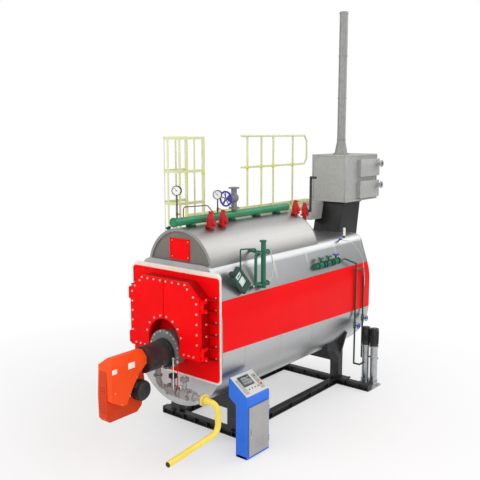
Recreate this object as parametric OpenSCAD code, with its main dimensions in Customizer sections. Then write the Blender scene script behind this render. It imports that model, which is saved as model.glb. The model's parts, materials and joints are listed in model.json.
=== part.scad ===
// Horizontal steam boiler on a steel base, with its burner, economizer, platform and control desk.
// Millimetres. The burner faces -Y, the boiler runs back along +Y, +Z is up.
// The origin is on the floor under the middle of the front cross-beam.

/* [Base] */
// Height of the base beams
beam_h = 120; // [100:5:160]
// Width of the base beams' flanges
beam_w = 120; // [100:5:150]
// Thickness of the beams' flanges
flange_t = 16; // [10:1:20]
// Thickness of the beams' webs
web_t = 14; // [10:1:20]
// Distance between the centre lines of the front and rear cross-beams
beam_pitch = 3140; // [3060:10:3220]
// Length of the front cross-beam
cross_len = 1920; // [1860:10:1960]
// How far the rear cross-beam reaches past the front one's end, to carry the feed pumps
pump_reach = 424; // [400:2:450]
// Distance between the centre lines of the two long beams
long_pitch = 1270; // [1230:10:1300]
// Diameter of the anchor bolt holes at the ends of the cross-beams
anchor_d = 22; // [18:1:30]
// Distance of the anchor holes from the end of a cross-beam
anchor_inset = 60; // [50:5:90]

/* [Saddles] */
// Thickness of the saddles' cross plate
saddle_t = 40; // [20:2:60]
// Width of a saddle leg across the boiler
leg_w = 190; // [160:5:200]
// Depth of a saddle leg along the boiler
leg_d = 150; // [130:5:180]
// Radius of the curved gusset at the top of a leg
gusset_r = 420; // [320:10:470]
// Height of the crown of the space between the legs
leg_gap_h = 440; // [400:10:500]

/* [Casing] */
// Half width of the casing, and the radius of its round bottom and sides
casing_r = 950; // [930:5:970]
// Height of the straight part of the casing's sides
casing_flat = 480; // [440:10:520]
// Length of the casing
casing_len = 4550; // [4480:10:4620]
// How far the casing stands in front of the front cross-beam
front_overhang = 653; // [620:5:680]
// Height of the casing's lowest line
casing_clear = 590; // [580:5:620]
// Height of the casing from its lowest line to its flat top
casing_h = 2318; // [2290:2:2340]
// Radius of the casing's upper corners
corner_r = 200; // [160:5:230]
// Distance of the upper corners' centres from the boiler's middle
corner_x = 560; // [530:5:600]
// Thickness of the insulated casing wall
casing_wall = 60; // [40:5:90]
// Thickness of the end plates
end_t = 20; // [12:1:30]
// Radius of the casing's rounded rear edge
rear_round = 110; // [60:5:160]
// Thickness of the colour band's sheet
band_t = 8; // [4:1:12]
// Height of the band's top edge at the front, over the casing's middle
band_top = 616; // [560:4:640]
// Depth of the band's lower edge at the front, under the casing's middle
band_drop = 150; // [120:5:200]
// How much lower the band's lower edge runs at the rear
band_taper = 157; // [60:5:200]

/* [Drum] */
// Outer radius of the upper drum
drum_r = 690; // [665:5:710]
// Depth of the drum's axis below the casing's top line
drum_sink = 181; // [160:1:210]
// How far the drum's front rim stands back from the casing's front
drum_set = 83; // [40:1:120]
// Length of the drum
drum_len = 2860; // [2780:10:2920]
// Radius of the drum's rounded rear end
head_round = 150; // [110:5:180]
// Thickness of the drum's insulated wall
drum_wall = 50; // [40:5:80]
// How far the drum's end plates are set back from its rims
rim_step = 14; // [8:1:30]
// Width of the square plate on the drum's front
plate_w = 420; // [380:10:440]
// Height of the square plate
plate_h = 330; // [300:10:360]
// Thickness of the square plate
plate_t = 6; // [4:1:10]
// Height of the square plate's middle over the drum's axis
plate_rise = 364; // [350:2:376]

/* [Smokebox] */
// Width of the smokebox flange
sb_flange_w = 1840; // [1800:10:1870]
// Height of the smokebox flange
sb_flange_h = 1600; // [1560:10:1640]
// Thickness of the smokebox flange
sb_flange_t = 25; // [15:1:30]
// Radius of the flange's corners
flange_corner = 55; // [30:5:80]
// Height of the flange's lower edge
sb_flange_z = 1160; // [1140:5:1180]
// Thickness of the pale panel behind the flange
panel_t = 35; // [25:5:50]
// How far the pale panel shows above the flange
panel_top = 65; // [40:5:80]
// How far the pale panel shows beside the flange
panel_side = 10; // [5:1:20]
// How far the pale panel shows below the flange
panel_low = 45; // [30:5:60]
// Half width of the smokebox
sb_half = 744; // [735:1:752]
// Height of the smokebox's lower edge
sb_low = 1517; // [1500:1:1535]
// Height of the smokebox's top
sb_top = 2679; // [2665:1:2690]
// Length of the flat part of the smokebox's top, from the middle
sb_top_half = 488; // [450:2:520]
// Height at which the smokebox's corner cut starts
sb_cut_z = 2456; // [2450:1:2480]
// Depth of the smokebox from the flange to its front rim
sb_depth = 166; // [150:1:200]
// Thickness of the smokebox walls
sb_wall = 12; // [8:1:20]
// Radius of the arch over the burner throat
arch_r = 330; // [325:1:340]
// Height of the arch's centre
arch_z = 1724; // [1715:1:1735]
// Thickness of the side gussets
rib_t = 12; // [8:1:16]
// Number of gussets on each side
rib_count = 6; // [4:1:8]
// Width of the seat that the tube opening leaves round its edge
seat_w = 45; // [35:1:60]

/* [Front doors] */
// Thickness of a front door
door_t = 55; // [40:1:70]
// Thickness of the door's sheet
door_skin = 12; // [8:1:16]
// Gap between the two doors
door_gap = 12; // [10:1:16]
// Gap between the closed doors and the smokebox rim
seal_gap = 6; // [5:0.5:8]
// Diameter of the hinge pins
pin_d = 24; // [20:1:28]
// Radius of the hinge knuckles
knuckle_r = 24; // [20:1:26]
// Distance of the hinge pins from the smokebox's side
pin_out = 34; // [32:1:38]
// Height of a door's own knuckle
knuckle_h = 90; // [60:5:110]
// Height of a fixed hinge lug above and below the knuckle
lug_h = 45; // [30:5:55]
// Height of the lower hinge
hinge_low_z = 1630; // [1625:1:1660]
// Height of the upper hinge
hinge_high_z = 2355; // [2320:5:2360]

/* [Burner] */
// Height of the burner's axis
burner_z = 1565; // [1550:1:1575]
// Radius of the burner throat
throat_r = 282; // [270:1:290]
// Outer radius of the throat's bolted flange
ring_r = 312; // [306:1:315]
// Thickness of the throat's bolted flange
ring_t = 35; // [25:1:40]
// Length of the throat in front of the smokebox flange
throat_len = 190; // [150:1:210]
// Number of bolt holes in the throat's flange
ring_holes = 12; // [8:1:16]
// Diameter of the throat flange's bolt holes
ring_hole_d = 18; // [14:1:22]
// Radius of the burner head's tube
head_r = 205; // [190:1:220]
// Length from the throat to the point of the burner housing
head_len = 402; // [390:2:420]
// Distance of the burner housing's left side from the boiler's middle
housing_left = 190; // [170:2:200]
// Distance of the burner housing's right side from the boiler's middle
housing_right = 100; // [80:2:120]
// Height of the burner housing's top over the burner's axis
hood_h = 118; // [90:2:150]
// Slope along the burner housing's top edges
hood_edge = 90; // [60:2:110]
// Radius of the fan motor
motor_r = 150; // [140:1:158]
// Length of the fan motor
motor_len = 130; // [110:5:150]

/* [Gas train] */
// Height of the gas train's axis
gas_z = 1028; // [1012:1:1040]
// Radius of the gas train's pipe
gas_r = 44; // [38:1:50]
// Radius of the gas train's flanges
gas_flange_r = 90; // [80:1:100]
// Distance of the gas inlet flange from the boiler's middle
gas_inlet_x = 947; // [920:1:970]
// Drop of the yellow gas pipe from the train's axis
gas_drop = 416; // [390:2:440]
// Length of the yellow gas pipe's forward run
gas_run = 1040; // [960:10:1120]
// Angle in plan by which the yellow pipe's run leaves the boiler's axis
gas_turn = 7; // [0:0.5:9]
// Radius of the pipe bends at the axis of the pipe
bend_r = 130; // [110:5:150]

/* [Steam fittings] */
// Radius of the steam manifold
manifold_r = 65; // [55:1:75]
// Gap between the manifold and the drum's top
manifold_gap = 35; // [20:1:50]
// How far the manifold stands in front of the drum
manifold_front = 122; // [100:1:160]
// How far the manifold reaches past the drum's shell at the rear
manifold_back = 8; // [0:2:60]
// Radius of the nozzles that join manifold and drum
nozzle_r = 42; // [34:1:50]
// Radius of a safety valve's body
relief_r = 62; // [50:1:70]
// Distance of the main steam valve behind the drum's front
valve_back = 1328; // [1260:2:1400]
// Radius of the main steam valve's flanges
valve_flange_r = 92; // [85:1:100]
// Thickness of the main steam valve's flanges
valve_flange_t = 22; // [18:1:26]
// Pitch circle diameter of the steam outlet's bolt holes
outlet_pcd = 145; // [140:1:150]
// Diameter of the steam outlet's bolt holes
outlet_hole_d = 18; // [14:1:20]
// Radius of the steam outlet's bore
outlet_bore_r = 33; // [28:1:36]
// Radius of the steam valve's handwheel
wheel_r = 130; // [120:1:138]
// Radius of the handwheel's rim section
wheel_rim_r = 10; // [8:1:12]
// Diameter of the handwheel's spindle
spindle_d = 22; // [18:1:24]
// Clearance of the handwheel's bore on its spindle
wheel_clear = 0.5; // [0.3:0.1:0.8]
// Radius of a pressure gauge
dial_r = 76; // [60:1:85]

/* [Water fittings] */
// Radius of the level gauge's column
column_r = 40; // [34:1:46]
// Height of the level gauge's column
column_h = 766; // [700:2:790]
// Radius of the feed line
feed_r = 34; // [28:1:40]
// Length of the feed line on the casing's shoulder
feed_len = 835; // [780:5:880]
// Radius of the small down pipes
down_r = 17; // [12:1:22]
// Radius of a feed pump's body
pump_r = 70; // [64:1:72]
// Height of a feed pump's body over the base beam
pump_h = 685; // [650:5:720]
// Height of a pump motor
pump_motor_h = 340; // [310:5:370]
// Distance between the two feed pumps
pump_pitch = 180; // [176:1:200]

/* [Flue] */
// Width of the flue duct
duct_w = 622; // [600:2:640]
// Wall of the flue duct
duct_wall = 12; // [6:1:20]
// Height of the economizer's underside
eco_z = 3499; // [3470:1:3530]
// Width of the economizer
eco_w = 770; // [740:10:800]
// Length of the economizer
eco_len = 1247; // [1200:1:1290]
// Height of the economizer
eco_h = 935; // [900:5:970]
// How far the economizer's front stands before the casing's rear end
eco_over = 141; // [120:1:170]
// Wall of the economizer's casing
eco_wall = 30; // [15:1:40]
// Radius of the stack
stack_r = 84; // [78:1:90]
// Bore radius of the stack
stack_bore_r = 77; // [68:1:78]
// Height of the stack over the economizer
stack_h = 2816; // [2760:4:2860]
// Radius of the stack's cone at its foot
cone_r = 135; // [120:1:150]
// Height of the stack's cone
cone_h = 280; // [240:5:320]

/* [Platform] */
// Height of the platform's deck
deck_z = 3275; // [3240:5:3310]
// Thickness of the platform's deck and its edge channels
deck_t = 80; // [60:5:100]
// Width of the platform
deck_w = 480; // [460:5:520]
// Distance of the platform's inner edge from the boiler's middle
deck_in = 970; // [965:1:990]
// Distance of the platform's front end behind the front cross-beam
deck_front = 1155; // [1130:5:1200]
// Length of the platform
deck_len = 3935; // [3800:5:4000]
// Height of the handrails over the deck
rail_h = 1533; // [1490:1:1560]
// Height of the middle rails over the deck
mid_rail_h = 905; // [870:5:930]
// Radius of the handrail tubes
rail_r = 21; // [17:1:24]
// Distance of the rear railing's first post behind the platform's front end
rail_start = 1545; // [1500:1:1600]
// Spacing of the ladder's rungs
rung_pitch = 300; // [280:10:320]
// Radius of the ladder's rungs
rung_r = 13; // [10:1:16]
// How far the ladder cage stands out before the ladder
hoop_out = 680; // [640:5:720]

/* [Control desk] */
// Width of the desk along the boiler
desk_w = 547; // [525:1:570]
// Depth of the desk's lower cabinet
desk_d = 217; // [205:1:230]
// Height of the desk's lower cabinet
desk_low_h = 860; // [840:5:880]
// Height of the desk's highest edge
desk_h = 1217; // [1190:1:1240]
// Height of the desk's front edge
desk_edge_h = 963; // [945:1:980]
// How far the desk's head stands back over the lower cabinet
desk_head = 138; // [120:2:150]
// Distance of the desk's door face from the boiler's middle
desk_x = 1324; // [1300:2:1350]
// Distance of the desk's front side before the front cross-beam
desk_front = 540; // [520:2:560]
// Thickness of the desk's door
desk_door_t = 18; // [14:1:22]
// Gap between the closed door and the desk
desk_seal = 5; // [4:0.5:8]
// Diameter of the door's hinge pins
desk_pin_d = 8; // [6:1:10]

/* [Hidden] */
$fn = 64;

// Clearance between curved faces that meet
fit = 0.3;
// Small step that carries a cut through a face
eps = 1;

// Places that follow from the sizes above
low_z = casing_clear + casing_r;
mid_z = low_z + casing_flat;
casing_z = low_z + casing_flat / 2;
casing_top = casing_clear + casing_h;
corner_z = casing_top - corner_r;
front_y = -front_overhang;
rear_y = front_y + casing_len;
drum_front_y = front_y + drum_set;
drum_z = casing_top - drum_sink;
drum_top = drum_z + drum_r;
drum_rear_y = drum_front_y + drum_len;
panel_y = front_y - panel_t;
flange_y = panel_y - sb_flange_t;
rim_y = flange_y - sb_depth;
door_back_y = rim_y - seal_gap;
door_front_y = door_back_y - door_t;
pin_x = sb_half + pin_out;
pin_y = door_back_y - door_t / 2;
beam_end_x = cross_len / 2 + pump_reach;
long_x = long_pitch / 2;
ring_y = flange_y - throat_len;
head_y = ring_y - ring_t;
head_z = burner_z - 45;
housing_y = head_y - head_len;
manifold_z = drum_top + manifold_gap + manifold_r;
manifold_y = drum_front_y - manifold_front;
manifold_len = manifold_front + drum_len + manifold_back;
valve_y = drum_front_y + valve_back;
eco_y = rear_y - eco_over;
eco_top = eco_z + eco_h;
stack_y = eco_y + 444;
front_box_y = rear_y - 527;
deck_out = deck_in + deck_w;
deck_end = deck_front + deck_len;
ladder_y = deck_front - 60;
band_out = casing_r + fit + band_t;
desk_back = desk_x - desk_d;

// The line that touches the round side and the upper corner of the casing
corner_d = norm([corner_x, corner_z - mid_z]);
corner_a = atan2(corner_z - mid_z, corner_x) - acos((casing_r - corner_r) / corner_d);
shoulder_n = [cos(corner_a), sin(corner_a)];
shoulder_low = [0, mid_z] + casing_r * shoulder_n;
shoulder_high = [corner_x, corner_z] + corner_r * shoulder_n;

// A shape drawn across the boiler and carried along it
module along_y(y0, len) {
    translate([0, y0 + len, 0]) rotate([90, 0, 0]) linear_extrude(len) children();
}

// A shape drawn in side view and carried across the boiler
module along_x(x0, len) {
    translate([x0, 0, 0]) rotate([90, 0, 90]) linear_extrude(len) children();
}

// A straight round bar between two points
module rod(a, b, r) {
    d = b - a;
    len = norm(d);
    translate(a) rotate([0, acos(d.z / len), atan2(d.y, d.x)]) cylinder(h = len, r = r);
}

// A run of round bars with ball joints at its corners
module bar_run(pts, r) {
    for (i = [0 : len(pts) - 2]) rod(pts[i], pts[i + 1], r);
    for (i = [1 : len(pts) - 2]) translate(pts[i]) sphere(r = r + 1.5);
}

// A rectangle with rounded corners
module rounded(x0, z0, w, h, r) {
    translate([x0 + r, z0]) square([w - 2 * r, h]);
    translate([x0, z0 + r]) square([w, h - 2 * r]);
    for (x = [x0 + r, x0 + w - r], z = [z0 + r, z0 + h - r]) translate([x, z]) circle(r = r);
}

// Outline of the casing across the boiler
module oval(grow = 0) {
    r = casing_r + grow;
    a = [0, mid_z] + r * shoulder_n;
    b = [corner_x, corner_z] + (corner_r + grow) * shoulder_n;
    translate([0, low_z]) circle(r = r, $fn = 128);
    translate([-r, low_z]) square([2 * r, casing_flat]);
    intersection() {
        translate([0, mid_z]) circle(r = r, $fn = 128);
        translate([-r, mid_z - r / 2]) square([2 * r, r / 2 + a.y - mid_z]);
    }
    polygon([a, b, [corner_x, casing_top + grow], [-corner_x, casing_top + grow], [-b.x, b.y], [-a.x, a.y],
        [60 - a.x, a.y - 90], [a.x - 60, a.y - 90]]);
    for (s = [-1, 1]) translate([s * corner_x, corner_z]) circle(r = corner_r + grow);
}

// The casing as a solid that others are cut by
module casing_room(grow = fit) {
    along_y(front_y - 500, casing_len + 500) oval(grow);
}

// Steel beams of the base
module beam_section() {
    translate([-beam_w / 2, 0]) square([beam_w, flange_t]);
    translate([-beam_w / 2, beam_h - flange_t]) square([beam_w, flange_t]);
    translate([-web_t / 2, 0]) square([web_t, beam_h]);
}

module cross_beam(y, x0, x1) {
    difference() {
        union() {
            along_x(x0, x1 - x0) translate([y, 0]) beam_section();
            for (x = [x0, x1 - end_t]) translate([x, y - beam_w / 2, 0]) cube([end_t, beam_w, beam_h]);
        }
        for (x = [x0 + anchor_inset, x1 - anchor_inset], s = [-1, 1])
            translate([x, y + s * (beam_w + web_t) / 4, -eps])
                cylinder(h = flange_t + 2 * eps, d = anchor_d);
    }
}

module front_beam() {
    color("#26272b") cross_beam(0, -cross_len / 2, desk_back);
}

module rear_beam() {
    color("#26272b") cross_beam(beam_pitch, -cross_len / 2, beam_end_x);
}

module long_beam(x) {
    color("#26272b") along_y(beam_w / 2, beam_pitch - beam_w) translate([x, 0]) beam_section();
}

module left_beam() {
    long_beam(-long_x);
}

module right_beam() {
    long_beam(long_x);
}

// Saddle of a cross plate that follows the casing and two legs with curved gussets
module leg_side(flip) {
    translate([-leg_d / 2, beam_h]) square([leg_d, casing_z - beam_h]);
    scale([flip, 1]) difference() {
        translate([leg_d / 2 - eps, casing_clear - gusset_r / 2]) square([gusset_r, gusset_r + casing_r / 2]);
        translate([leg_d / 2 + gusset_r, casing_clear - gusset_r / 2]) circle(r = gusset_r);
    }
}

module saddle(y, flip) {
    horn_x = casing_r - 90;
    horn_z = casing_clear + casing_r / 2;
    foot_x = long_x + leg_w / 2;
    difference() {
        union() {
            along_y(y - saddle_t / 2, saddle_t) difference() {
                polygon([[-foot_x, beam_h], [foot_x, beam_h], [foot_x, casing_clear],
                    [horn_x, horn_z], [-horn_x, horn_z], [-foot_x, casing_clear]]);
                translate([leg_w / 2 - long_x, 0]) square([2 * long_x - leg_w, leg_gap_h]);
            }
            for (s = [-1, 1]) along_x(s * long_x - leg_w / 2, leg_w)
                translate([y, 0]) leg_side(flip);
        }
        casing_room();
    }
}

module front_saddle() {
    color("#1f2024") saddle(0, 1);
}

module rear_saddle() {
    color("#1f2024") saddle(beam_pitch, -1);
}

// Oval casing with its two ends
module main_shell() {
    color("#c9ccce") along_y(front_y + end_t, casing_len - end_t - rear_round) difference() {
        oval();
        oval(-casing_wall);
    }
}

module front_end_plate() {
    color("#b9b7ae") along_y(front_y, end_t) oval();
}

module rear_end_cover() {
    steps = 5;
    color("#c2c5c7") hull() for (i = [0 : steps]) {
        a = 90 * i / steps;
        along_y(rear_y - rear_round + (rear_round - eps) * sin(a), eps) oval(-rear_round * (1 - cos(a)));
    }
}

// Upper drum that sits in the casing's top
module drum_shell() {
    color("#cfd2d4") difference() {
        along_y(drum_front_y, drum_len) translate([0, drum_z]) difference() {
            circle(r = drum_r, $fn = 128);
            circle(r = drum_r - drum_wall, $fn = 128);
        }
        casing_room();
    }
}

module drum_end(y) {
    difference() {
        along_y(y, end_t) translate([0, drum_z]) circle(r = drum_r - drum_wall - fit, $fn = 128);
        casing_room();
    }
}

module drum_front_plate() {
    color("#55575a") drum_end(drum_front_y + rim_step);
}

module drum_rear_head() {
    r = drum_r;
    c = head_round;
    color("#cfd2d4") difference() {
        translate([0, drum_rear_y, drum_z]) rotate([-90, 0, 0]) rotate_extrude($fn = 128) {
            square([r - c, c]);
            intersection() {
                translate([r - c, 0]) circle(r = c);
                square([r, c]);
            }
        }
        casing_room();
    }
}

module drum_square_plate() {
    y = drum_front_y + rim_step - plate_t;
    color("#c8202a") translate([-plate_w / 2, y, drum_z + plate_rise - plate_h / 2])
        cube([plate_w, plate_t, plate_h]);
}

// Colour band on the casing's sides
module band(side) {
    top_z = casing_z + band_top;
    low_z = casing_z - band_drop;
    color("#e21b23") intersection() {
        along_y(front_y + eps, casing_len - rear_round - 2 * eps) difference() {
            oval(fit + band_t);
            oval(fit);
        }
        along_x(side > 0 ? 0 : -2 * casing_r, 2 * casing_r) polygon([[front_y, low_z],
            [rear_y, low_z - band_taper], [rear_y, top_z - 0.2 * band_taper], [front_y, top_z]]);
    }
}

module left_band() {
    band(-1);
}

module right_band() {
    band(1);
}

// Front panel, flange and box of the smokebox
module casing_panel() {
    color("#e9e4d2") along_y(panel_y, panel_t) rounded(-sb_flange_w / 2 - panel_side, sb_flange_z - panel_low,
        sb_flange_w + 2 * panel_side, sb_flange_h + panel_low + panel_top, flange_corner + panel_side);
}

// Outline of the smokebox, drawn smaller by i, with its corner cuts kept parallel
module sb_outline(i = 0) {
    n = [sb_top - sb_cut_z, sb_half - sb_top_half] / norm([sb_top - sb_cut_z, sb_half - sb_top_half]);
    reach = n.x * sb_half + n.y * sb_cut_z - i;
    cut_z = (reach - n.x * (sb_half - i)) / n.y;
    top_x = (reach - n.y * (sb_top - i)) / n.x;
    polygon([[-sb_half + i, sb_low + i], [sb_half - i, sb_low + i], [sb_half - i, cut_z], [top_x, sb_top - i],
        [-top_x, sb_top - i], [-sb_half + i, cut_z]]);
}

// The arch over the burner throat, larger by i
module sb_arch(i = 0) {
    translate([0, arch_z]) circle(r = arch_r + i, $fn = 96);
    translate([-arch_r - i, sb_low - arch_r]) square([2 * (arch_r + i), arch_z - sb_low + arch_r]);
}

module sb_shape(i = 0) {
    difference() {
        sb_outline(i);
        sb_arch(i);
    }
}

module smokebox_flange() {
    color("#d9161f") along_y(flange_y, sb_flange_t) difference() {
        rounded(-sb_flange_w / 2, sb_flange_z, sb_flange_w, sb_flange_h, flange_corner);
        sb_shape(seat_w);
    }
}

module tube_plate() {
    color("#6b6864") along_y(panel_y - sb_flange_t / 2, sb_flange_t / 2) sb_shape(seat_w + fit);
}

module smokebox_body() {
    rib_w = sb_flange_w / 2 - sb_half;
    pitch = (sb_cut_z - sb_low - rib_t) / (rib_count - 1);
    color("#cf141d") {
        along_y(rim_y, sb_depth) difference() {
            sb_shape(0);
            sb_shape(sb_wall);
        }
        for (s = [-1, 1], i = [0 : rib_count - 1])
            translate([s > 0 ? sb_half - eps : -sb_half - rib_w + eps, 0, sb_low + i * pitch])
                linear_extrude(rib_t) gusset_plan(s, rib_w);
    }
}

// Plan of a side gusset, wide at the flange and narrow at the rim
module gusset_plan(s, w) {
    tip = w / 3;
    y0 = rim_y + door_t;
    if (s > 0) polygon([[0, flange_y], [w, flange_y], [w, flange_y - tip], [tip, y0], [0, y0]]);
    else polygon([[w, flange_y], [0, flange_y], [0, flange_y - tip], [w - tip, y0], [w, y0]]);
}

// Hinges of the front doors: fixed lugs with their pins
module hinge_lug(z) {
    for (k = [0, 1]) translate([0, 0, k == 0 ? z - knuckle_h / 2 - lug_h : z + knuckle_h / 2]) {
        translate([pin_x, pin_y, 0]) cylinder(h = lug_h - eps, r = knuckle_r);
        linear_extrude(lug_h - eps) polygon([[pin_x - knuckle_r + 2, pin_y],
            [pin_x + knuckle_r - 2, pin_y], [pin_x + knuckle_r - 2, rim_y + door_t],
            [sb_half + fit, rim_y + door_t], [sb_half + fit, rim_y + 8], [pin_x - knuckle_r + 2, rim_y - 4]]);
    }
    translate([pin_x, pin_y, z - knuckle_h / 2 - lug_h - 10])
        cylinder(h = knuckle_h + 2 * lug_h + 20, d = pin_d);
}

module hinge_pair() {
    for (z = [hinge_low_z, hinge_high_z]) hinge_lug(z);
}

module right_hinges() {
    color("#8d1218") hinge_pair();
}

module left_hinges() {
    color("#8d1218") mirror([1, 0, 0]) hinge_pair();
}

// One front door with its knuckles, drawn for the right side
module door_half(i) {
    difference() {
        sb_outline(i);
        sb_arch(i);
        translate([-sb_half - eps, sb_low - eps])
            square([sb_half + eps + door_gap / 2 + i, sb_top - sb_low + 2 * eps]);
    }
}

module door_leaf() {
    difference() {
        union() {
            along_y(door_front_y, door_skin) door_half(0);
            along_y(door_front_y, door_t) difference() {
                door_half(0);
                door_half(door_skin);
            }
            for (z = [hinge_low_z, hinge_high_z]) translate([0, 0, z - knuckle_h / 2 + 1]) {
                translate([pin_x, pin_y, 0]) cylinder(h = knuckle_h - 2, r = knuckle_r);
                translate([sb_half - door_skin, pin_y - knuckle_r + 3, 0])
                    cube([pin_out + door_skin, 2 * knuckle_r - 6, knuckle_h - 2]);
            }
        }
        for (z = [hinge_low_z, hinge_high_z]) translate([pin_x, pin_y, z - knuckle_h / 2])
            cylinder(h = knuckle_h, d = pin_d + 2 * fit);
    }
}

module right_door() {
    color("#ee1c24") door_leaf();
}

module left_door() {
    color("#ee1c24") mirror([1, 0, 0]) door_leaf();
}

// Burner: throat with bolted ring, head, housing, fan casing and motor
module burner_throat() {
    color("#8a8f90") difference() {
        union() {
            rod([0, flange_y, burner_z], [0, ring_y, burner_z], throat_r);
            rod([0, ring_y, burner_z], [0, head_y, burner_z], ring_r);
        }
        for (i = [0 : ring_holes - 1]) {
            a = 360 * i / ring_holes + 15;
            hole = (ring_r + throat_r) / 2 - 8;
            translate([hole * cos(a), head_y - eps, burner_z + hole * sin(a)])
                rotate([-90, 0, 0]) cylinder(h = ring_t / 2 + eps, d = ring_hole_d);
        }
    }
}

module burner_head() {
    color("#26282a") difference() {
        union() {
            rod([0, head_y, head_z], [0, housing_y - 60, head_z], head_r);
            rod([0, head_y - 30, head_z], [0, head_y - 60, head_z], head_r + 18);
        }
        housing_block();
        volute_block();
    }
}

// Side view of the burner housing's upper part, which the head runs into
module housing_block() {
    left = -housing_left;
    intersection() {
        along_x(left, housing_left + housing_right) translate([housing_y, burner_z])
            polygon([[3, -30], [-199, -189], [-323, -353], [-462, -600], [-543, -600], [-744, -487],
                [-740, 20], [-640, hood_h], [3, hood_h]]);
        along_y(housing_y - 800, 900) translate([0, burner_z])
            polygon([[left, -700], [housing_right, -700], [housing_right, hood_h - hood_edge],
                [housing_right - hood_edge, hood_h], [left + hood_edge, hood_h], [left, hood_h - hood_edge]]);
    }
}

// Side view of the housing's lower part, behind the cover
module volute_block() {
    along_x(-housing_left, housing_left) translate([housing_y, burner_z])
        polygon([[-60, 0], [-10, -425], [-84, -748], [-175, -823], [-709, -825], [-755, -765], [-762, -425],
            [-740, -40], [-440, 0]]);
}

module burner_housing() {
    color("#f05a28") housing_block();
}

motor_y = housing_y - 170;
motor_z = burner_z - 465;

module burner_fan() {
    color("#b8401c") difference() {
        volute_block();
        housing_block();
    }
}

module burner_motor() {
    color("#232529") {
        rod([0, motor_y, motor_z], [motor_len, motor_y, motor_z], motor_r);
        rod([motor_len, motor_y, motor_z], [motor_len + 24, motor_y, motor_z], motor_r - 25);
    }
}

// Gas train under the burner head and the yellow pipe that feeds it
gas_y = head_y - 137;

module gas_valve(x, w) {
    rod([x - w / 2, gas_y, gas_z], [x + w / 2, gas_y, gas_z], gas_r + 18);
    translate([x - w / 3, gas_y - 62, gas_z - 62]) cube([w / 1.5, 124, 124]);
    rod([x, gas_y, gas_z + 40], [x, gas_y, gas_z + 190], 34);
    for (s = [-1, 1]) rod([x + s * w / 2 - 8, gas_y, gas_z], [x + s * w / 2 + 8, gas_y, gas_z], gas_flange_r);
}

module gas_train() {
    color("#8b8b8a") {
        difference() {
            union() {
                rod([0, gas_y, gas_z + bend_r], [0, gas_y, head_z], gas_r);
                rod([0, gas_y, gas_z + bend_r + 20], [0, gas_y, gas_z + bend_r + 44], gas_r + 30);
            }
            rod([0, head_y + eps, head_z], [0, gas_y - 200, head_z], head_r + fit);
        }
        translate([bend_r, gas_y, gas_z + bend_r]) rotate([90, 0, 0])
            rotate([0, 0, 180]) rotate_extrude(angle = 90) translate([bend_r, 0]) circle(r = gas_r);
        rod([bend_r, gas_y, gas_z], [gas_inlet_x, gas_y, gas_z], gas_r);
        gas_valve(gas_inlet_x * 0.34, 180);
        gas_valve(gas_inlet_x * 0.59, 150);
        rod([gas_inlet_x * 0.76, gas_y, gas_z], [gas_inlet_x * 0.8, gas_y, gas_z], gas_r + 30);
        rod([gas_inlet_x - 24, gas_y, gas_z], [gas_inlet_x, gas_y, gas_z], gas_flange_r);
    }
}

module gas_inlet_pipe() {
    x1 = gas_inlet_x + 140 + bend_r;
    z1 = gas_z - gas_drop;
    color("#f2dd3a") {
        rod([gas_inlet_x, gas_y, gas_z], [gas_inlet_x + 24, gas_y, gas_z], gas_flange_r);
        rod([gas_inlet_x, gas_y, gas_z], [x1 - bend_r, gas_y, gas_z], gas_r);
        translate([x1 - bend_r, gas_y, gas_z - bend_r]) rotate([90, 0, 0])
            rotate_extrude(angle = 90) translate([bend_r, 0]) circle(r = gas_r);
        rod([x1, gas_y, gas_z - bend_r], [x1, gas_y, z1 + bend_r], gas_r);
        translate([x1, gas_y, 0]) rotate([0, 0, gas_turn]) {
            translate([0, -bend_r, z1 + bend_r]) rotate([0, 90, 0])
                rotate_extrude(angle = 90) translate([bend_r, 0]) circle(r = gas_r);
            rod([0, -bend_r, z1], [0, -bend_r - gas_run, z1], gas_r);
        }
    }
}

// Steam manifold on the drum and what stands on it
module steam_manifold() {
    color("#177245") {
        rod([0, manifold_y, manifold_z], [0, manifold_y + manifold_len, manifold_z], manifold_r);
        for (f = [0.13, 0.46, 0.69, 0.89])
            translate([0, manifold_y + f * manifold_len, drum_top + fit])
                cylinder(h = manifold_z - drum_top - fit, r = nozzle_r);
        rod([0, manifold_y - 10, manifold_z], [0, manifold_y + 14, manifold_z], manifold_r + 12);
    }
}

// A spring safety valve standing on a point
module relief(at, foot) {
    translate(at) {
        translate([0, 0, -foot]) cylinder(h = foot, r = relief_r * 0.6);
        cylinder(h = 26, r = relief_r + 22);
        translate([0, 0, 26]) cylinder(h = 110, r = relief_r);
        translate([0, 0, 136]) cylinder(h = 85, r1 = relief_r, r2 = relief_r * 0.55);
        translate([0, 0, 221]) cylinder(h = 25, r = relief_r * 0.4);
    }
}

relief_x = 230;
relief_z = drum_z + sqrt(drum_r * drum_r - relief_x * relief_x);
relief_front = [0.165, 0.27];
rear_relief_y = drum_rear_y + head_round + 0.489 * (front_box_y - drum_rear_y - head_round);
rear_relief_z = casing_top + 385;

module safety_valves() {
    color("#cf2027") {
        for (y = [drum_front_y + relief_front[0] * drum_len, drum_front_y + relief_front[1] * drum_len,
            drum_rear_y - 40]) difference() {
            relief([relief_x, y, relief_z + 30], 80);
            drum_room();
        }
        difference() {
            relief([0, rear_relief_y, rear_relief_z], rear_relief_z - casing_top + 30);
            casing_room();
        }
    }
}

// The drum's outside as a solid that others are cut by
module drum_room() {
    along_y(drum_front_y - 10, drum_len + 20) translate([0, drum_z]) circle(r = drum_r + fit, $fn = 128);
}

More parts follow.
